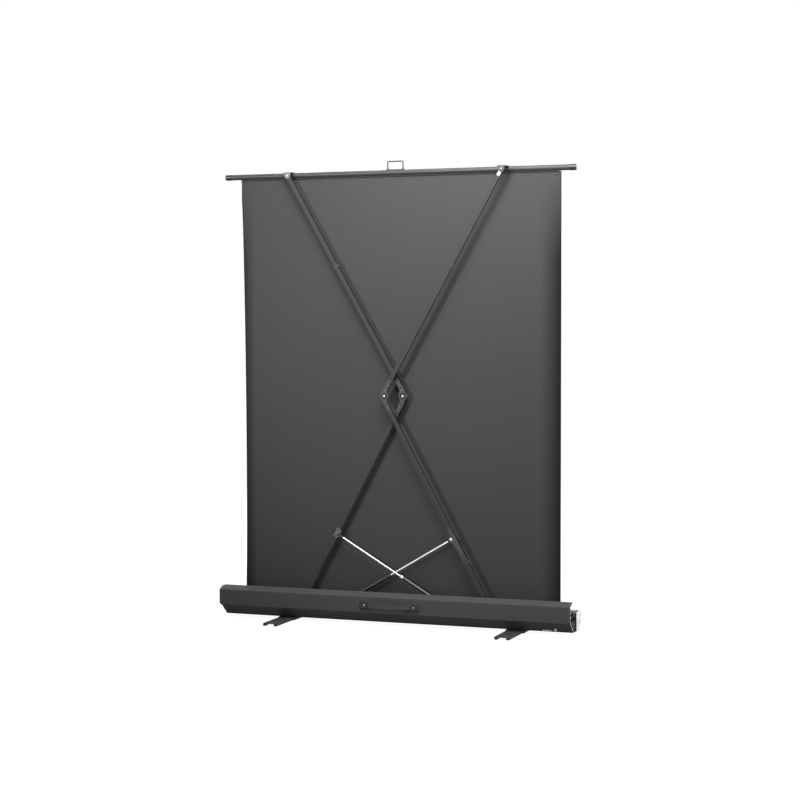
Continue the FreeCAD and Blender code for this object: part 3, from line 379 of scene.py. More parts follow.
class Weave(Effect):
    """Plain weave of fine yarns across X and Z."""

    name = "plain_weave"
    inputs = ("Yarns",)
    outputs = ("Height",)

    def fill(self, graph: Graph, given: Sockets) -> list[Socket]:
        """Multiply two sine waves into the over and under of a weave."""
        place = graph.split(graph.place())
        turns = graph.math("MULTIPLY", given["Yarns"], math.pi)
        waves = [graph.math("SINE", graph.math("MULTIPLY", place[axis], turns)) for axis in "XZ"]
        return [graph.math("MULTIPLY_ADD", graph.math("MULTIPLY", *waves), 0.5, 0.5)]


GRAIN, LINES, WEAR, DUST = Grain(), Lines(), EdgeWear(), Dust()
BARE, EDGE_FACES, SOFT_EDGE, CLOTH_SIDE_PAINTED_SHADE, WEAVE = BareMetal(), EdgeFaces(), SoftEdge(), ClothSidePaintedShade(), Weave()


@dataclass(frozen=True)
class Finish:
    """What every finish shares: its name, its colour and how rough it is."""

    name: str
    colour: Colour
    roughness: float = 0.5

    def material(self) -> bpy.types.Material:
        """Find this finish's material, or build it the first time it is asked for.

        Returns:
            The material.
        """
        found = bpy.data.materials.get(self.name)
        if found:
            return found
        made = bpy.data.materials.new(self.name)
        made.use_nodes = True
        made.diffuse_color = self.colour
        self.fill(Graph(made.node_tree), made.node_tree.nodes["Principled BSDF"])
        return made

    def fill(self, graph: Graph, shader: bpy.types.Node) -> None:
        """Build the nodes that feed the shader."""
        raise NotImplementedError

    def uneven(self, graph: Graph, share: Socket, below: float, above: float | None = None) -> Socket:
        """Let the roughness vary below and above its level, as far each way where one step is given."""
        return graph.ramp(share, self.roughness - below, self.roughness + (below if above is None else above))

    def relief(self, graph: Graph, height: Socket, depth: float, radius: float) -> Socket:
        """Press a height into the surface over softened edges.

        Args:
            graph: the material's tree.
            height: socket that holds the height, from 0 to 1.
            depth: how deep the relief is, in metres.
            radius: how far sharp edges are rounded, in metres.

        Returns:
            The socket of the normal.
        """
        bump = graph.supply(graph.node("Bump"), Strength=1.0, Distance=depth, Height=height)
        if radius > 0:
            graph.supply(bump, Normal=graph.use(SOFT_EDGE, Radius=radius)["Normal"])
        return bump.outputs[0]


@dataclass(frozen=True)
class Paint(Finish):
    """Sprayed or baked paint on metal, rubbed at the edges and dusty on top."""

    grain_scale: float = 1400.0
    grain_depth: float = 0.00003
    drift: float = 0.10
    drift_scale: float = 7.0
    worn: Colour = tint(150)
    wear: float = 0.3
    worn_width: float = 0.0012
    dust: float = 0.12
    dust_scale: float = 28.0
    dust_colour: Colour = tint(168, 166, 162)
    dust_roughness: float = 0.3
    spread: float = 0.06
    edge: float = 0.0006
    metallic: float = 0.0
    coat: float = 0.0
    coat_roughness: float = 0.25
    specular: float = 0.5
    bare_inward: Point = (0.0, 0.0, 0.0)
    bare_beyond: float = 0.0
    bare_colour: Colour = tint(228)
    bare_metallic: float = 0.3
    painted_edge_shade: float = 0.0
    edge_limit: float = 0.4

    def fill(self, graph: Graph, shader: bpy.types.Node) -> None:
        """Mix the paint with its drift of tone, its worn edges and its dust, and paint shade onto narrow side
        faces where asked.
        """
        grain = graph.use(GRAIN, Scale=self.grain_scale, Drift_Scale=self.drift_scale)
        painted = graph.waver(grain["Drift"], self.colour, self.drift, self.drift)
        worn = graph.math("MULTIPLY", graph.use(WEAR, Width=self.worn_width)["Worn"], self.wear)
        dust = graph.math("MULTIPLY", graph.use(DUST, Scale=self.dust_scale)["Dust"], self.dust)
        colour = graph.blend(dust, graph.blend(worn, painted, self.worn), self.dust_colour)
        metallic = self.metallic
        if self.bare_beyond > 0:
            bare = graph.use(BARE, Inward=self.bare_inward, Beyond=self.bare_beyond)["Bare"]
            colour = graph.blend(bare, colour, self.bare_colour)
            metallic = graph.math("MULTIPLY", bare, self.bare_metallic)
        # Painted shade: narrow side faces are darkened towards black.
        if self.painted_edge_shade > 0:
            narrow = graph.use(EDGE_FACES, Limit=self.edge_limit)["Edge"]
            colour = graph.blend(graph.math("MULTIPLY", narrow, self.painted_edge_shade), colour, BLACK)
        fine = self.uneven(graph, grain["Speckle"], self.spread)
        graph.supply(
            shader,
            Base_Color=colour,
            Metallic=metallic,
            Roughness=graph.math("MULTIPLY_ADD", dust, self.dust_roughness, fine, clamp=True),
            Specular_IOR_Level=self.specular,
            Coat_Weight=self.coat,
            Coat_Roughness=self.coat_roughness,
            Normal=self.relief(graph, grain["Speckle"], self.grain_depth, self.edge),
        )


@dataclass(frozen=True)
class Metal(Finish):
    """Bare or plated metal with brushed, drawn or turned lines."""

    run: Run = Run.AROUND
    line_depth: float = 0.00002
    contrast: float = 0.12
    edge: float = 0.0004
    metallic: float = 1.0
    smudge: float = 0.08
    smudge_scales: Pair = (300.0, 22.0)
    smoother: float = 0.05
    rougher: float = 0.07

    def fill(self, graph: Graph, shader: bpy.types.Node) -> None:
        """Vary colour and roughness along the lines, with faint finger smudges."""
        line = graph.use(LINES, Stretch=self.run.value)["Line"]
        fine, wide = self.smudge_scales
        smudge = graph.use(GRAIN, Scale=fine, Drift_Scale=wide)["Drift"]
        lined = self.uneven(graph, line, self.smoother, self.rougher)
        graph.supply(
            shader,
            Base_Color=graph.waver(line, self.colour, self.contrast),
            Metallic=self.metallic,
            Roughness=graph.math("MULTIPLY_ADD", smudge, self.smudge, lined, clamp=True),
            Normal=self.relief(graph, line, self.line_depth, self.edge),
        )


@dataclass(frozen=True)
class Moulded(Finish):
    """Moulded plastic or rubber with a leathery spark texture."""

    grain_scale: float = 900.0
    grain_depth: float = 0.00008
    drift: float = 0.08
    drift_scale: float = 15.0
    dust: float = 0.1
    dust_scale: float = 40.0
    dust_colour: Colour = tint(160)
    spread: float = 0.08
    edge: float = 0.0006

    def fill(self, graph: Graph, shader: bpy.types.Node) -> None:
        """Mix the plastic with its texture and its dust."""
        grain = graph.use(GRAIN, Scale=self.grain_scale, Drift_Scale=self.drift_scale)
        dust = graph.math("MULTIPLY", graph.use(DUST, Scale=self.dust_scale)["Dust"], self.dust)
        moulded = graph.waver(grain["Drift"], self.colour, self.drift)
        graph.supply(
            shader,
            Base_Color=graph.blend(dust, moulded, self.dust_colour),
            Roughness=self.uneven(graph, grain["Speckle"], self.spread),
            Normal=self.relief(graph, grain["Speckle"], self.grain_depth, self.edge),
        )


@dataclass(frozen=True)
class Cloth(Finish):
    """Coated screen fabric: a plain weave that shows faintly through its coat."""

    yarns: float = 1300.0
    yarn_depth: float = 0.00004
    drift: float = 0.06
    scales: Pair = (2200.0, 3.0)
    streaks: Point = (26.0, 26.0, 0.8)
    streak_share: float = 0.4
    spread: float = 0.05
    specular: float = 0.5
    painted_side_shade: float = 0.0
    right_band: Pair = (0.756, 0.095)
    left_band: Pair = (0.75, 0.06)

    def fill(self, graph: Graph, shader: bpy.types.Node) -> None:
        """Vary the coat a little, paint shade towards its side edges where asked, and press the weave through
        it.
        """
        fine, wide = self.scales
        grain = graph.use(GRAIN, Scale=fine, Drift_Scale=wide)
        streak = graph.use(LINES, Stretch=self.streaks)["Line"]
        drift = graph.math("MULTIPLY", grain["Drift"], 1 - self.streak_share)
        tone = graph.math("MULTIPLY_ADD", streak, self.streak_share, drift)
        colour = graph.waver(tone, self.colour, self.drift, self.drift)
        # Painted shade: darken the coat towards both side edges, letting go near the held top.
        if self.painted_side_shade > 0:
            bands = dict(zip(ClothSidePaintedShade.inputs, self.right_band + self.left_band))
            fade = graph.math("MULTIPLY", graph.use(CLOTH_SIDE_PAINTED_SHADE, **bands)["Fade"], self.painted_side_shade)
            colour = graph.blend(fade, colour, BLACK)
        graph.supply(
            shader,
            Base_Color=colour,
            Roughness=self.uneven(graph, grain["Speckle"], self.spread),
            Specular_IOR_Level=self.specular,
            Normal=self.relief(graph, graph.use(WEAVE, Yarns=self.yarns)["Height"], self.yarn_depth, 0.0),
        )


CASE_PAINT = Paint(
    "case_rear_matt_black", tint(76), 0.6, dust=0.0, drift=0.07, bare_beyond=0.8243, specular=0.08
)
FRONT_PAINT = Paint(
    "case_front_matt_black", tint(77), 0.6, dust=0.08, drift=0.07,
    bare_inward=(0.0, -1.0, 0.0), bare_beyond=0.8243,
)
MILL_METAL = Metal("divider_dull_metal", tint(34), 0.5, run=Run.ALONG_X, metallic=0.3)
SILVER = Metal("end_plate_silver", tint(238), 0.45, run=Run.ALONG_Z, contrast=0.03, metallic=0.15)
DIM_SILVER = Metal("arm_end_sleeve_silver", tint(178), 0.4, run=Run.ALONG_Z, contrast=0.08, metallic=0.6)
BLACK_PLASTIC = Moulded("black_moulded_plastic", tint(32), 0.5)
CAP_PLASTIC = Moulded("bar_cap_plastic", tint(30), 0.28, grain_depth=0.00003, dust=0.03)
GRIP_PLASTIC = Moulded("grip_strap_plastic", tint(50), 0.45, grain_scale=600.0)
FITTING_PLASTIC = Moulded("handle_fitting_plastic", tint(40), 0.3, grain_depth=0.00004)
BRIGHT_STEEL = Metal("bright_plated_steel", tint(214), 0.22, contrast=0.08)
SCREW_STEEL = Metal("case_screw_steel", tint(196), 0.3, contrast=0.1, metallic=0.6)
RIVET_STEEL = Paint("blackened_rivet_steel", tint(24), 0.5, wear=0.15, worn_width=0.0005, specular=0.2)
DULL_STEEL = Metal("top_screw_dull_steel", tint(150), 0.34, contrast=0.1, metallic=0.8)
# Near-black for painted shade: screw recesses, and partly the chamber plugs and elbow washers.
PAINTED_SHADE_BLACK = Moulded("screw_recess_shadow", tint(14), 0.8, dust=0.0)
# Painted shade: the arms' narrow side faces are painted black.
ARM_PAINT = Paint("arm_satin_black", tint(66), 0.42, wear=0.35, drift=0.08, specular=0.0, painted_edge_shade=1.0)
STRAP_STEEL = Paint(
    "elbow_strap_grey_steel", tint(70), 0.45, worn=tint(140), dust=0.02, drift=0.4,
    metallic=0.1, specular=0.25,
)
BRACKET_STEEL = Paint(
    "bracket_grey_steel", tint(78), 0.4, worn=tint(160), dust=0.04, metallic=0.3, specular=0.3
)
# Painted light and shade: the two strut brackets are lit and shaded copies of one grey steel.
LIT_BRACKET_STEEL = Paint("strut_bracket_pale_steel", tint(98), 0.4, worn=tint(180), dust=0.04, metallic=0.3)
SHADED_BRACKET_STEEL = Paint("strut_bracket_dark_steel", tint(66), 0.4, worn=tint(140), dust=0.04, metallic=0.2)
BLACK_STEEL = Paint("black_steel_small_parts", tint(40), 0.42, wear=0.25, worn_width=0.0006, specular=0.35)
CHROME = Metal("strut_rod_chrome", tint(222), 0.24, contrast=0.03, line_depth=0.000001, metallic=0.45)
CYLINDER_PAINT = Paint("strut_cylinder_gloss_black", tint(28), 0.24, coat=0.35, wear=0.08, dust=0.04)
RUBBER = Moulded("black_rubber", tint(26), 0.68, grain_scale=700.0)
BAR_PAINT = Paint("bar_satin_black", tint(46), 0.44, wear=0.25, specular=0.4)
WIRE_PAINT = Paint("pull_wire_black", tint(14), 0.36, wear=0.2, worn_width=0.0008, specular=0.35)
ROLLER_STEEL = Metal("roller_zinc_steel", tint(150), 0.38, run=Run.ALONG_X)
# Black plastic darkened further, partly painted shade under the top bar.
STRIP_PLASTIC_AND_SHADE = Moulded("clamp_strip_plastic_and_shade", tint(16), 0.6, dust=0.0)
FOOT_PAINT = Paint("foot_textured_black", tint(27), 0.55, grain_scale=800.0, grain_depth=0.00007)
# Both back materials carry painted shade towards the cloth's side edges.
CLOTH_BACK = Cloth("screen_back_black_coat", tint(63), 0.6, drift=0.05, specular=0.1, painted_side_shade=0.92)
CLOTH_EDGE = Cloth("screen_back_edge_band", tint(58), 0.6, drift=0.05, specular=0.1, painted_side_shade=0.92)
CLOTH_FRONT = Cloth("screen_front_matt_white", tint(232), 0.85, drift=0.01)
CLOTH_BORDER = Cloth("screen_front_black_border", tint(24), 0.8)


def show(name: str, data: bpy.types.ID) -> bpy.types.Object:
    """Put a new object that holds some data into the scene."""
    made = bpy.data.objects.new(name, data)
    bpy.context.scene.collection.objects.link(made)
    return made


@dataclass
class Shape:
    """Points and faces of one mesh while it is being drawn, in metres."""

    points: list[Vector] = field(default_factory=list)
    faces: list[tuple[int, ...]] = field(default_factory=list)
    marks: list[int] = field(default_factory=list)

    def grid(self, rows: list[list[Vector]], closed: bool = False, mark: int = 0) -> "Shape":
        """Join rows of points into a skin of four-sided faces.

        Args:
            rows: rows of equal length.
            closed: whether each row meets its own start.
            mark: material slot of the faces.
        """
        first, width = len(self.points), len(rows[0])
        for row in rows:
            self.points.extend(row)
        for r in range(len(rows) - 1):
            for c in range(width if closed else width - 1):
                d = (c + 1) % width
                low, high = first + r * width, first + (r + 1) * width
                self.faces.append((low + c, low + d, high + d, high + c))
                self.marks.append(mark)
        return self

    def cap(self, ring: list[Vector]) -> "Shape":
        """Close an end with one many-sided face."""
        first = len(self.points)
        self.points.extend(ring)
        self.faces.append(tuple(range(first, first + len(ring))))
        self.marks.append(0)
        return self

    def bar(self, rows: list[list[Vector]]) -> "Shape":
        """Skin rows that go all the way round, and close both ends."""
        return self.grid(rows, closed=True).cap(rows[0]).cap(rows[-1])

    def sleeve(self, rows: list[list[Vector]]) -> "Shape":
        """Skin rows that run out and back again, and close each end between the two runs."""
        self.grid(rows, closed=True)
        for row in (rows[0], rows[-1]):
            for step in range(len(row) // 2 - 1):
                self.cap([row[step], row[step + 1], row[-2 - step], row[-1 - step]])
        return self

    def lathe(self, profile: Pairs, place: Matrix, steps: int = 40) -> "Shape":
        """Turn a closed profile about the local Z axis.

        Args:
            profile: radius and height of its points, in order.
            place: where the local axis stands.
            steps: how many faces go round.
        """
        turns = [math.tau * s / steps for s in range(steps)]
        whole = profile + profile[:1]
        rows = [[place @ Vector((r * math.cos(t), r * math.sin(t), h)) for t in turns] for r, h in whole]
        return self.grid(rows, closed=True)

    def ring(self, sizes: Point, place: Matrix, soft: float) -> "Shape":
        """Draw a flat ring that stands on its place.

        Args:
            sizes: radius of its hole, outer radius and thickness.
            place: where its lower face lies.
            soft: how much the outer top edge is cut off.
        """
        bore, radius, height = sizes
        top = ((radius, height - soft), (radius - soft, height), (bore, height))
        return self.lathe(((bore, 0.0), (radius, 0.0)) + top, place)

    def prism(self, outline: Outline, place: Matrix, depth: float) -> "Shape":
        """Push a flat outline on the local XY plane out along the local Z axis."""
        return self.bar([[place @ Vector((x, y, z)) for x, y in outline] for z in (0.0, depth)])

    def piece(
        self, name: str, body: str, finishes: list[Finish], slot: str, crease: float = 32.0
    ) -> bpy.types.Object:
        """Make the drawn shape into a piece that rides on a body.

        Args:
            name: the piece's name.
            body: CAD body that carries it.
            finishes: one finish for each material slot.
            slot: not used.
            crease: angle in degrees above which an edge stays sharp.

        Returns:
            The new object.
        """
        mesh = bpy.data.meshes.new(name)
        mesh.from_pydata([tuple(p) for p in self.points], [], self.faces)
        for finish in finishes:
            mesh.materials.append(finish.material())
        mesh.polygons.foreach_set("material_index", self.marks)
        mesh.validate()
        tidy_normals(mesh)
        mesh.polygons.foreach_set("use_smooth", [True] * len(mesh.polygons))
        mesh.set_sharp_from_angle(angle=math.radians(crease))
        made = show(name, mesh)
        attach(made, body)
        log.info("%s: %d faces on %s", name, len(mesh.polygons), body)
        return made


def tidy_normals(mesh: bpy.types.Mesh) -> None:
    """Merge points that meet and turn every face outward."""
    work = bmesh.new()
    work.from_mesh(mesh)
    bmesh.ops.remove_doubles(work, verts=work.verts, dist=MERGE_REACH)
    bmesh.ops.recalc_face_normals(work, faces=work.faces)
    work.to_mesh(mesh)
    work.free()


def dress(finish: Finish, *names: str) -> None:
    """Give carried-over nodes their finish."""
    for name in names:
        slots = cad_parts[name].data.materials
        slots.clear()
        slots.append(finish.material())
        log.info("%s: %s", name, finish.name)


def facing(place: Point | Vector, direction: Point | Vector) -> Matrix:
    """Stand a local Z axis at a place so that it points along a direction."""
    turn = Vector(direction).to_track_quat("Z", "Y").to_matrix().to_4x4()
    return Matrix.Translation(Vector(place)) @ turn


def cross(sizes: Pair) -> Outline:
    """Outline of the cross recess in a screw head, from its reach and half its width."""
    reach, width = sizes
    arm = [(width, reach), (-width, reach), (-width, width)]
    turns = [(1, 0), (0, 1), (-1, 0), (0, -1)]
    return [(x * c - y * s, x * s + y * c) for c, s in turns for x, y in arm]


@dataclass
class Case:
    """The long case with its two chambers, end plates, plugs and screws."""

    end_screw_x: float = 0.8288
    end_screws: Pairs = ((0.07593, 0.0457), (0.07593, 0.0793), (0.01295, 0.0861))
    grip_screws: tuple[Point, ...] = ((-0.12067, -0.0898, 0.0935), (0.11267, -0.0898, 0.0935))
    small_cross: Pair = (0.00135, 0.0003)
    mark_depth: float = 0.00004
    bevel_screw: Point = (0.747, -0.03872, 0.02256)
    bevel_out: Point = (0.0, -0.6709, -0.7416)
    bevel_screw_height: float = 0.0055
    bevel_cross: Pair = (0.0028, 0.0006)
    bevel_sunk: float = 0.0006
    bevel_mark_depth: float = 0.00062
    axle: Pair = (0.04725, 0.0525)
    axle_ring: Point = (0.00605, 0.0088, 0.0009)
    axle_ring_x: float = 0.82702
    axle_ring_soft: float = 0.0003
    trim_end: float = 0.8365
    trim_wall: float = 0.0025
    trim_proud: float = 0.0002
    trim_soft: float = 0.0009
    trim_corner: float = 0.012
    trim_steps: int = 9
    trim_stations: int = 24
    trim_path: Pairs = (
        (-0.0783, 0.0588), (-0.079, 0.0614), (-0.079, 0.1272), (-0.0783, 0.1299), (-0.0761, 0.1318),
        (-0.0445, 0.1463),
    )

    @property
    def trim_legs(self) -> list[tuple[Vector, Vector]]:
        """Start and stretch of each straight part of the rear wall's outline, from the bottom up."""
        path = [Vector((0.0, y, z)) for y, z in self.trim_path]
        return [(start, end - start) for start, end in zip(path, path[1:])]

    def build(self) -> None:
        """Dress the case and add its small fittings."""
        dress(CASE_PAINT, "case_rear_shell")
        dress(FRONT_PAINT, "case_front_shell")
        dress(MILL_METAL, "case_divider")
        dress(SILVER, "end_plate_left", "end_plate_right", "lower_clip_plate")
        # The chamber end plugs are black plastic darkened further to near-black, partly painted shade inside
        # the chamber.
        dress(PAINTED_SHADE_BLACK, "chamber_end_plugs")
        dress(SCREW_STEEL, "case_screws")
        dress(BRIGHT_STEEL, "pivot_pins", "foot_swivel_bolts", "roller_axles")
        dress(BLACK_STEEL, "floor_fork_brackets", "foot_washers")
        self.recess_screws()
        self.ring_axles()
        self.trim_left_end()

    def on_wall(self, reach: float) -> tuple[Vector, Vector]:
        """Find a place on the rear wall's outline.

        Args:
            reach: how far along the outline it is.

        Returns:
            The place and the way outward there.
        """
        legs = self.trim_legs
        while len(legs) > 1 and reach > legs[0][1].length:
            reach -= legs.pop(0)[1].length
        start, leg = legs[0]
        along = leg / leg.length
        return start + along * reach, Vector((0.0, -along.z, along.y))

    def trim_left_end(self) -> None:
        """Close the sawn left edge of the rear wall with a moulded trim that has rounded corners."""
        whole = sum(leg.length for _, leg in self.trim_legs)
        shares = [s / self.trim_stations for s in range(self.trim_stations + 1)]
        rows = []
        for step in range(self.trim_steps + 1):
            turn = math.pi / 2 * step / self.trim_steps
            x = -(self.trim_end - self.trim_corner * (1 - math.sin(turn)))
            short = self.trim_corner * (1 - math.cos(turn))
            soft = self.trim_soft * (1 - math.cos(turn))
            run = [(share, self.trim_proud - soft) for share in shares]
            run += [(share, soft - self.trim_wall) for share in reversed(shares)]
            row = []
            for share, lift in run:
                place, out = self.on_wall(short + (whole - 2 * short) * share)
                row.append(place + out * lift + Vector((x, 0.0, 0.0)))
            rows.append(row)
        Shape().sleeve(rows).piece("left_chamber_trim", "case", [BLACK_PLASTIC], "black_plastic", crease=40.0)

    def recess_screws(self) -> None:
        """Lay a thin near-black cross on every screw head on the case, as painted shade in the driver's
        recess.
        """
        seats = []
        for side in Side:
            way = (side.value, 0, 0)
            seats += [facing((side.value * self.end_screw_x, y, z), way) for y, z in self.end_screws]
        seats += [facing(place, (0, -1, 0)) for place in self.grip_screws]
        marks = Shape()
        for seat in seats:
            marks.prism(cross(self.small_cross), seat, self.mark_depth)
        low = Vector(self.bevel_screw) + Vector(self.bevel_out) * (self.bevel_screw_height - self.bevel_sunk)
        marks.prism(cross(self.bevel_cross), facing(low, self.bevel_out), self.bevel_mark_depth)
        marks.piece("case_screw_recess_shade", "case", [PAINTED_SHADE_BLACK], "black_plastic")

    def ring_axles(self) -> None:
        """Seat a plated ring round each end of the roller's axle on its end plate."""
        rings = Shape()
        for side in Side:
            seat = facing((side.value * self.axle_ring_x, *self.axle), (side.value, 0, 0))
            rings.ring(self.axle_ring, seat, self.axle_ring_soft)
        rings.piece("axle_rings", "case", [BRIGHT_STEEL], "bright_steel")


@dataclass
class CarryHandle:
    """Strap handle on the rear face of the case."""

    left: float = -0.108
    right: float = 0.100
    outer_y: float = -0.085
    bow: float = 0.027
    middle_z: float = 0.0935
    cad_steps: int = 14
    rib_places: tuple[float, ...] = (-0.0066, -0.0033, 0.0, 0.0033, 0.0066)
    rib_half: float = 0.0006
    rib_depth: float = 0.0005
    rib_sunk: float = 0.0005
    rib_section: Pairs = ((-1.0, 0.0), (-0.8, 0.7), (0.0, 1.0), (0.8, 0.7), (1.0, 0.0))
    rib_start: float = 0.02
    rib_rise: int = 3
    steps: int = 56

    def surface(self, share: float) -> Pair:
        """Place on the strap's outer face, which is made of flat stretches.

        Args:
            share: from 0 at the left mouth to 1 at the right one.

        Returns:
            Its X and Y.
        """
        low = math.floor(share * self.cad_steps) / self.cad_steps
        high = low + 1 / self.cad_steps
        part = (share - low) / (high - low)
        near, far = (self.bow * math.sin(math.pi * s) for s in (low, high))
        x = self.left + (self.right - self.left) * share
        return x, self.outer_y - near * (1 - part) - far * part

    def build(self) -> None:
        """Dress the strap and its two ends, and run fine ribs along the strap."""
        dress(GRIP_PLASTIC, "carry_handle_strap")
        dress(FITTING_PLASTIC, "carry_handle_ends")
        ribs = Shape()
        for offset in self.rib_places:
            rows = []
            for step in range(self.steps + 1):
                x, y = self.surface(self.rib_start + (1 - 2 * self.rib_start) * step / self.steps)
                lift = self.rib_depth * min(1.0, step / self.rib_rise, (self.steps - step) / self.rib_rise)
                row = []
                for across, height in self.rib_section:
                    out = lift * height if height else -self.rib_sunk
                    row.append(Vector((x, y - out, self.middle_z + offset + self.rib_half * across)))
                rows.append(row)
            ribs.bar(rows)
        ribs.piece("carry_handle_ribs", "case", [GRIP_PLASTIC], "strap_plastic", crease=50.0)


@dataclass
class Leg:
    """One folding leg: a lower arm, an upper arm, their straps, pin and bumpers."""

    side: Side
    elbow_x: float = 0.04
    elbow_z: float = 1.01708
    top_x: float = 0.507
    top_z: float = 1.99786
    half_tube: float = 0.005
    washer: Point = (0.00412, 0.014, 0.00034)
    washer_seat: float = 0.00843
    washer_soft: float = 0.0001
    plate_gap: float = 0.00003
    plate_half: Pairs = ((0.0076, 0.0), (0.0076, -0.0002), (0.007, -0.00045))
    plate_rows: Pairs = ((0.0125, 0.5), (0.0131, 1.0), (0.0309, 1.0), (0.0315, 0.5))

    @property
    def plane(self) -> float:
        """Y of the plane that this leg folds in."""
        return -0.0025 if self.side is Side.LEFT else -0.021

    def build(self) -> None:
        """Dress the arms of this side and add what is fitted to them."""
        word = self.side.word
        for arm in ("lower", "upper"):
            dress(ARM_PAINT, f"{word}_{arm}_arm_tube")
            dress(STRAP_STEEL, f"{word}_{arm}_arm_straps")
            dress(RIVET_STEEL, f"{word}_{arm}_arm_rivets")
        # Painted light and shade: the left strut bracket is painted lighter than the right one.
        dress(LIT_BRACKET_STEEL if self.side is Side.LEFT else SHADED_BRACKET_STEEL, f"{word}_strut_bracket")
        dress(BRIGHT_STEEL, f"{word}_elbow_pin")
        dress(RUBBER, f"{word}_arm_bumper")
        self.seat_washers()
        if self.side is Side.RIGHT:
            dress(BRIGHT_STEEL, "right_strut_bolt")
            dress(RUBBER, "right_lower_arm_bumper")
            self.cover_arm_end()

    def seat_washers(self) -> None:
        """Lay a dark nylon washer under each head of the elbow's pin; its near-black is partly painted shade
        round the head.
        """
        word = self.side.word
        washers = Shape()
        for way in (-1, 1):
            place = (-self.side.value * self.elbow_x, self.plane + way * self.washer_seat, self.elbow_z)
            washers.ring(self.washer, facing(place, (0, way, 0)), self.washer_soft)
        washers.piece(f"{word}_elbow_washers", f"{word}_lower_arm", [PAINTED_SHADE_BLACK], "black_plastic")

    def cover_arm_end(self) -> None:
        """Lay the bright sleeve plate on the rear of the upper arm, below its top bracket."""
        top = Vector((self.top_x, self.plane - self.half_tube - self.plate_gap, self.top_z))
        along = (Vector((-self.elbow_x, top.y, self.elbow_z)) - top).normalized()
        across = Vector((along.z, 0, -along.x))
        section = [(-a, b) for a, b in self.plate_half] + list(reversed(self.plate_half))
        rows = [
            [top + along * reach + across * a + Vector((0, b * share, 0)) for a, b in section]
            for reach, share in self.plate_rows
        ]
        plate = Shape().bar(rows)
        plate.piece("right_arm_end_plate", "right_upper_arm", [DIM_SILVER], "silver_plate")


@dataclass
class GasStrut:
    """One gas strut that carries the weight of the raised screen."""

    side: Side
    anchor_x: float = 0.359
    anchor_z: float = 0.0245
    slope: float = 30.4887
    length: float = 0.386
    crimps: Pair = (0.028, 0.362)
    bead: Pairs = (
        (0.0081, 0.0), (0.00835, 0.0), (0.0086, 0.0007), (0.0086, 0.0015), (0.00835, 0.0022), (0.0081, 0.0022)
    )
    seal: Point = (0.00415, 0.0062, 0.0013)
    seal_soft: float = 0.0005

    @property
    def plane(self) -> float:
        """Y of the plane that this strut moves in."""
        return -0.0195 if self.side is Side.LEFT else -0.001

    def along(self, reach: float) -> Matrix:
        """Stand the local Z axis on the strut's line, some way up from its anchor."""
        way, turn = self.side.value, math.radians(self.slope)
        direction = Vector((way * math.cos(turn), 0.0, math.sin(turn)))
        start = Vector((-way * self.anchor_x, self.plane, self.anchor_z))
        return facing(start + direction * reach, direction)

    def build(self) -> None:
        """Dress the strut's pieces, crimp the cylinder and seal the rod."""
        strut = f"{self.side.word}_strut"
        dress(CYLINDER_PAINT, f"{strut}_cylinder")
        # Painted highlight: the left collar is bright plated steel where the right one is black plastic,
        # standing in for the glint it catches.
        dress(BRIGHT_STEEL if self.side is Side.LEFT else BLACK_PLASTIC, f"{strut}_collar")
        dress(CHROME, f"{strut}_rod")
        dress(BLACK_PLASTIC, f"{strut}_rod_end")
        bands = Shape()
        for reach in self.crimps:
            bands.lathe(self.bead, self.along(reach))
        bands.piece(f"{strut}_crimps", f"{strut}_cylinder", [CYLINDER_PAINT], "black_steel")
        seal = Shape().ring(self.seal, self.along(self.length), self.seal_soft)
        seal.piece(f"{strut}_seal", f"{strut}_cylinder", [RUBBER], "black_rubber")


@dataclass
class TopBar:
    """Round bar that carries the fabric, with its brackets and pull handle."""

    screw_tops: tuple[Point, ...] = ((-0.507, -0.0131, 1.99786), (0.507, -0.0316, 1.99786))
    screw_cross: Pair = (0.0024, 0.0005)
    mark_depth: float = 0.00004

    def build(self) -> None:
        """Dress the bar, its caps and what is fixed to it."""
        dress(BAR_PAINT, "top_bar_tube")
        dress(CAP_PLASTIC, "top_bar_end_caps")
        dress(BLACK_PLASTIC, "pull_handle_clip")
        # The clamp strip's near-black is partly painted shade under the bar.
        dress(STRIP_PLASTIC_AND_SHADE, "fabric_clamp_strip")
        dress(BRACKET_STEEL, "left_top_bracket", "right_top_bracket")
        dress(DULL_STEEL, "top_pivot_screws")
        dress(WIRE_PAINT, "pull_handle_wire")
        # Painted shade: a thin near-black cross on each pivot screw head stands in for its recess.
        marks = Shape()
        for place in self.screw_tops:
            marks.prism(cross(self.screw_cross), facing(place, (0, -1, 0)), self.mark_depth)
        marks.piece("top_screw_recess_shade", "top_bar", [PAINTED_SHADE_BLACK], "black_plastic")


@dataclass
class Foot:
    """One swivelling foot under the case."""

    side: Side

    def build(self) -> None:
        """Dress the foot and its rubber ends."""
        dress(FOOT_PAINT, f"{self.side.word}_foot_channel")
        dress(RUBBER, f"{self.side.word}_foot_pads")


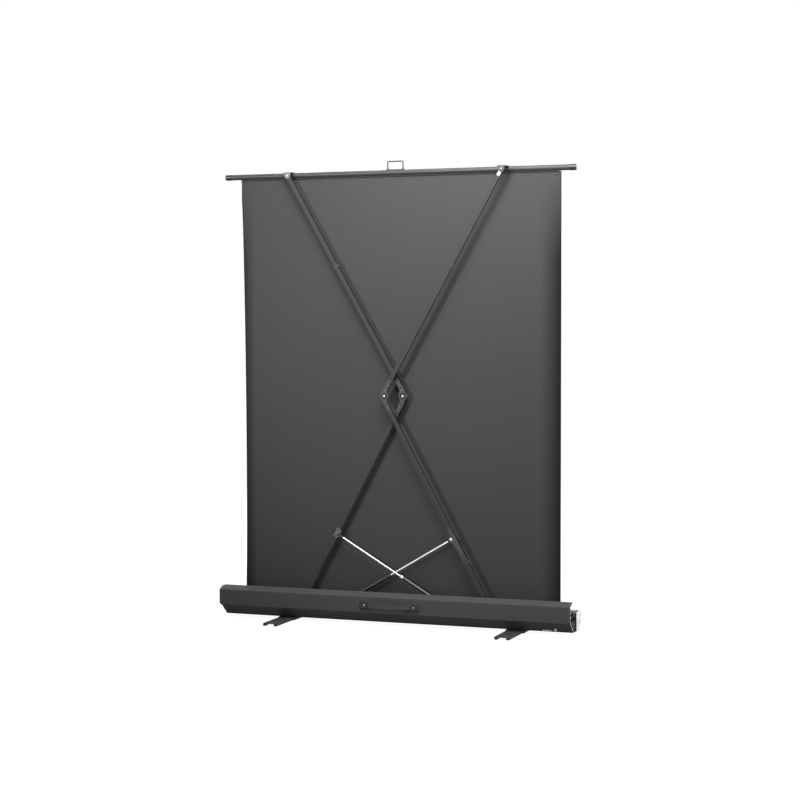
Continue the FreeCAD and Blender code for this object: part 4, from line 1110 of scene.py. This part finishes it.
@dataclass
class Roller:
    """Spring roller that the fabric winds on, inside the front chamber."""

    axis_y: float = 0.04725
    axis_z: float = 0.0525
    half_width: float = 0.75
    inner_radius: float = 0.0191
    outer_radius: float = 0.0206
    turns: int = 2
    steps: int = 96
    packing: float = 0.8

    def build(self) -> None:
        """Dress the tube and its ends, and wind the fabric that is left on it."""
        dress(ROLLER_STEEL, "roller_tube")
        dress(BLACK_PLASTIC, "roller_end_plugs")
        dress(BRIGHT_STEEL, "roller_spring")
        count = self.turns * self.steps
        growth = (self.outer_radius - self.inner_radius) / (count + self.steps)
        layer = growth * self.steps * self.packing
        section = []
        for lift, order in ((layer, range(count + 1)), (0.0, range(count, -1, -1))):
            for step in order:
                radius = self.inner_radius + growth * step + lift
                turn = math.pi - math.tau * (count - step) / self.steps
                section.append((self.axis_y + radius * math.cos(turn), self.axis_z + radius * math.sin(turn)))
        rows = [[Vector((x, y, z)) for y, z in section] for x in (-self.half_width, self.half_width)]
        made = Shape().sleeve(rows).piece("wound_screen_cloth", "roller", [CLOTH_BACK], "screen_cloth")
        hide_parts("wound_fabric")


@dataclass
class ScreenCloth:
    """The stretched fabric: black coat behind, matt white with black borders in front."""

    half_width: float = 0.75
    low: float = 0.0525
    high: float = 1.98606
    back_y: float = 0.0257
    thickness: float = 0.0006
    columns: int = 96
    rows: int = 110
    side_border: float = 0.03
    top_border: float = 0.06
    bottom_border: float = 0.12
    edge_steps: tuple[float, ...] = (0.0, 0.002, 0.004, 0.007, 0.011, 0.015, 0.02)
    edge_band: float = 0.007
    held: float = 0.055
    ripple: float = 0.0006
    ripple_turn: float = 9.0
    ripple_lean: float = 2.2
    swell_turn: float = 3.1
    swell_start: float = 0.7
    curl_reach: float = 0.05
    curl_depth: float = 0.006
    curl_inward: float = 0.0125
    curl_ease: float = 0.6
    flare: float = 0.0105

    def stations(self) -> list[float]:
        """Places across the width, closer together near the edges and at the borders."""
        inner = self.half_width - self.side_border
        middle = [-inner + 2 * inner * c / self.columns for c in range(self.columns + 1)]
        left = [step - self.half_width for step in self.edge_steps]
        return left + middle + [-x for x in reversed(left)]

    def levels(self) -> list[float]:
        """Places up the height, with one at each border."""
        low, high = self.low + self.bottom_border, self.high - self.top_border
        middle = [low + (high - low) * r / self.rows for r in range(self.rows + 1)]
        return [self.low, (self.low + low) / 2] + middle + [(self.high + high) / 2, self.high]

    def point(self, x: float, z: float, depth: float) -> Vector:
        """Place one point of the cloth, with its ripple and the curl of its side edges.

        Args:
            x: place across the flat cloth.
            z: height.
            depth: how far in front of the back face the point lies.

        Returns:
            The point in the frame.
        """
        share = (z - self.low) / (self.high - self.low)
        slack = math.sin(math.pi * min(max((share - self.held) / (1 - 2 * self.held), 0.0), 1.0))
        ripple = math.sin(x * self.ripple_turn + self.ripple_lean * share)
        swell = math.sin(x * self.swell_turn - self.swell_start)
        wave = self.ripple * slack * (ripple * swell - 1.0)
        reach = min(self.half_width - abs(x), self.curl_reach) / self.curl_reach
        curl = (1 - reach) ** 2 * slack ** self.curl_ease if x < 0 else 0.0
        outward = self.flare * share * max(x / self.half_width, 0.0) ** 3
        y = self.back_y + depth + wave - self.curl_depth * curl
        return Vector((x + self.curl_inward * curl + outward, y, z))

    def build(self) -> None:
        across, up = self.stations(), self.levels()
        back, front = ([[self.point(x, z, y) for x in across] for z in up] for y in (0.0, self.thickness))
        shape = Shape().grid(back, mark=ClothSlot.BACK).grid(front, mark=ClothSlot.FRONT)
        count = len(across) - 1
        first = (len(up) - 1) * count
        for r in range(len(up) - 1):
            middle_z = (up[r] + up[r + 1]) / 2
            band = middle_z < self.low + self.bottom_border or middle_z > self.high - self.top_border
            for c in range(count):
                inset = self.half_width - abs(across[c] + across[c + 1]) / 2
                if band or inset < self.side_border:
                    shape.marks[first + r * count + c] = ClothSlot.BORDER
                if inset < self.edge_band:
                    shape.marks[r * count + c] = ClothSlot.EDGE
        for end in (0, -1):
            shape.grid([back[end], front[end]], mark=ClothSlot.BORDER)
        for end in (0, -1):
            sides = [[row[end] for row in face] for face in (back, front)]
            shape.grid(sides, mark=ClothSlot.BORDER)
        finishes = [CLOTH_BACK, CLOTH_FRONT, CLOTH_BORDER, CLOTH_EDGE]
        made = shape.piece("screen_cloth", "case", finishes, "screen_cloth", crease=60.0)
        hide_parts("screen_fabric")
        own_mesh(made)


@dataclass(frozen=True)
class Lamp:
    """One lamp: a square one, or a soft-edged spot where it has a cone."""

    place: Point
    size: float
    power: float
    target: Point = (0.0, 0.0, 1.0)
    cone: float = 0.0

    def hang(self, name: str) -> None:
        """Hang the lamp, turned to its target."""
        data = bpy.data.lights.new(name, "SPOT" if self.cone else "AREA")
        data.energy = self.power
        if self.cone:
            data.shadow_soft_size, data.spot_blend = self.size, 1.0
            data.spot_size = math.radians(self.cone)
        else:
            data.size = self.size
        lamp = show(name, data)
        lamp.location = self.place
        aim = Vector(self.target) - Vector(self.place)
        lamp.rotation_euler = aim.to_track_quat("-Z", "Y").to_euler()


@dataclass
class Studio:
    """Camera, lamps, floor and white surroundings."""

    eye: Point = (3.1858, -8.0842, 1.4739)
    turn: float = 21.364
    dip: float = 3.127
    roll: float = -0.437
    lens: float = 88.674
    sensor: float = 36.0
    ambient: float = 0.14
    lamps: tuple[Lamp, ...] = (
        Lamp((-2.5, -4.3, 2.3), 0.1, 580.0, target=(0.1, 0.0, 1.4), cone=39.0),
        Lamp((0.45, -1.1, 2.85), 1.4, 78.0),
        Lamp((1.7, -2.2, 2.4), 0.7, 12.0),
        Lamp((2.7, 0.1, 0.5), 0.5, 23.0),
        Lamp((-2.6, 4.5, 3.2), 1.6, 110.0),
        Lamp((2.6, 4.5, 3.2), 1.6, 110.0),
    )
    floor_reach: float = 40.0
    floor_z: float = -0.0005
    floor_grey: float = 0.26
    floor_roughness: float = 0.9
    floor_glow: Pair = (0.93, 1.0)
    glow_places: Pair = (1.4, 3.2)
    mirrored_share: float = 0.5

    def build(self) -> None:
        """Set the studio up."""
        self.place_camera()
        for index, lamp in enumerate(self.lamps):
            lamp.hang(f"lamp_{index}")
        self.surround()
        self.lay_floor()

    def place_camera(self) -> None:
        """Stand the camera where the photograph was taken from."""
        turn, dip, roll = (math.radians(a) for a in (self.turn, self.dip, self.roll))
        ahead = Vector((-math.sin(turn), math.cos(turn), 0))
        right = Vector((math.cos(turn), math.sin(turn), 0))
        look = ahead * math.cos(dip) - Vector((0, 0, math.sin(dip)))
        up = right.cross(look)
        side = right * math.cos(roll) + up * math.sin(roll)
        top = up * math.cos(roll) - right * math.sin(roll)
        data = bpy.data.cameras.new("photo_view")
        data.lens, data.sensor_width = self.lens, self.sensor
        camera = show("photo_view", data)
        axes = Matrix((side, top, -look)).transposed().to_4x4()
        camera.matrix_world = Matrix.Translation(Vector(self.eye)) @ axes
        bpy.context.scene.camera = camera

    def surround(self) -> None:
        """Show white to the camera and in reflections, and light everything else softly."""
        world = bpy.data.worlds.new("white_studio")
        world.use_nodes = True
        bpy.context.scene.world = world
        nodes = world.node_tree.nodes
        graph = Graph(world.node_tree)
        plain = graph.supply(nodes["Background"], Color=WHITE, Strength=self.ambient)
        white = graph.supply(graph.node("Background"), Color=WHITE)
        mixed = graph.node("MixShader")
        share = graph.math("MAXIMUM", self.seen(graph), self.mirrored(graph))
        for socket, value in zip(mixed.inputs, (share, plain.outputs[0], white.outputs[0])):
            graph.feed(socket, value)
        graph.supply(nodes["World Output"], Surface=mixed.outputs[0])

    def seen(self, graph: Graph) -> Socket:
        """One where the camera looks straight or through glass."""
        path = graph.node("LightPath").outputs
        return graph.math("MAXIMUM", path["Is Camera Ray"], path["Is Transmission Ray"])

    def mirrored(self, graph: Graph) -> Socket:
        """One where a glossy surface looks."""
        return graph.node("LightPath").outputs["Is Glossy Ray"]

    def lay_floor(self) -> None:
        """Lay a pale floor that looks white and keeps the shadow."""
        mesh = bpy.data.meshes.new("studio_floor")
        turns = ((-1, -1), (1, -1), (1, 1), (-1, 1))
        corners = [(x * self.floor_reach, y * self.floor_reach, 0) for x, y in turns]
        mesh.from_pydata(corners, [], [(0, 1, 2, 3)])
        floor = show("studio_floor", mesh)
        floor.location.z = self.floor_z
        material = bpy.data.materials.new("studio_floor_white")
        material.use_nodes = True
        graph = Graph(material.node_tree)
        away = graph.vector("LENGTH", graph.place())
        glow = graph.ramp(away, *self.floor_glow, *self.glow_places)
        glimpse = graph.math("MULTIPLY", self.mirrored(graph), self.mirrored_share)
        level = graph.math("MULTIPLY", glow, graph.math("MAXIMUM", self.seen(graph), glimpse))
        graph.supply(
            material.node_tree.nodes["Principled BSDF"],
            Base_Color=(*[self.floor_grey] * 3, 1.0),
            Roughness=self.floor_roughness,
            Specular_IOR_Level=0.0,
            Emission_Color=graph.blend(level, BLACK, WHITE),
            Emission_Strength=1.0,
        )
        mesh.materials.append(material)


def main() -> None:
    """Dress every sub-assembly and set up the studio."""
    logging.basicConfig(level=logging.INFO, format="%(name)s %(message)s")
    bpy.context.scene.view_settings.view_transform = "Standard"
    studio = Studio()
    studio.build()
    parts = [Case(), CarryHandle(), TopBar(), Roller(), ScreenCloth()]
    for side in Side:
        parts += [Leg(side), GasStrut(side), Foot(side)]
    for part in parts:
        part.build()
        log.info("%s done", type(part).__name__)


if __name__ == "__main__":
    main()
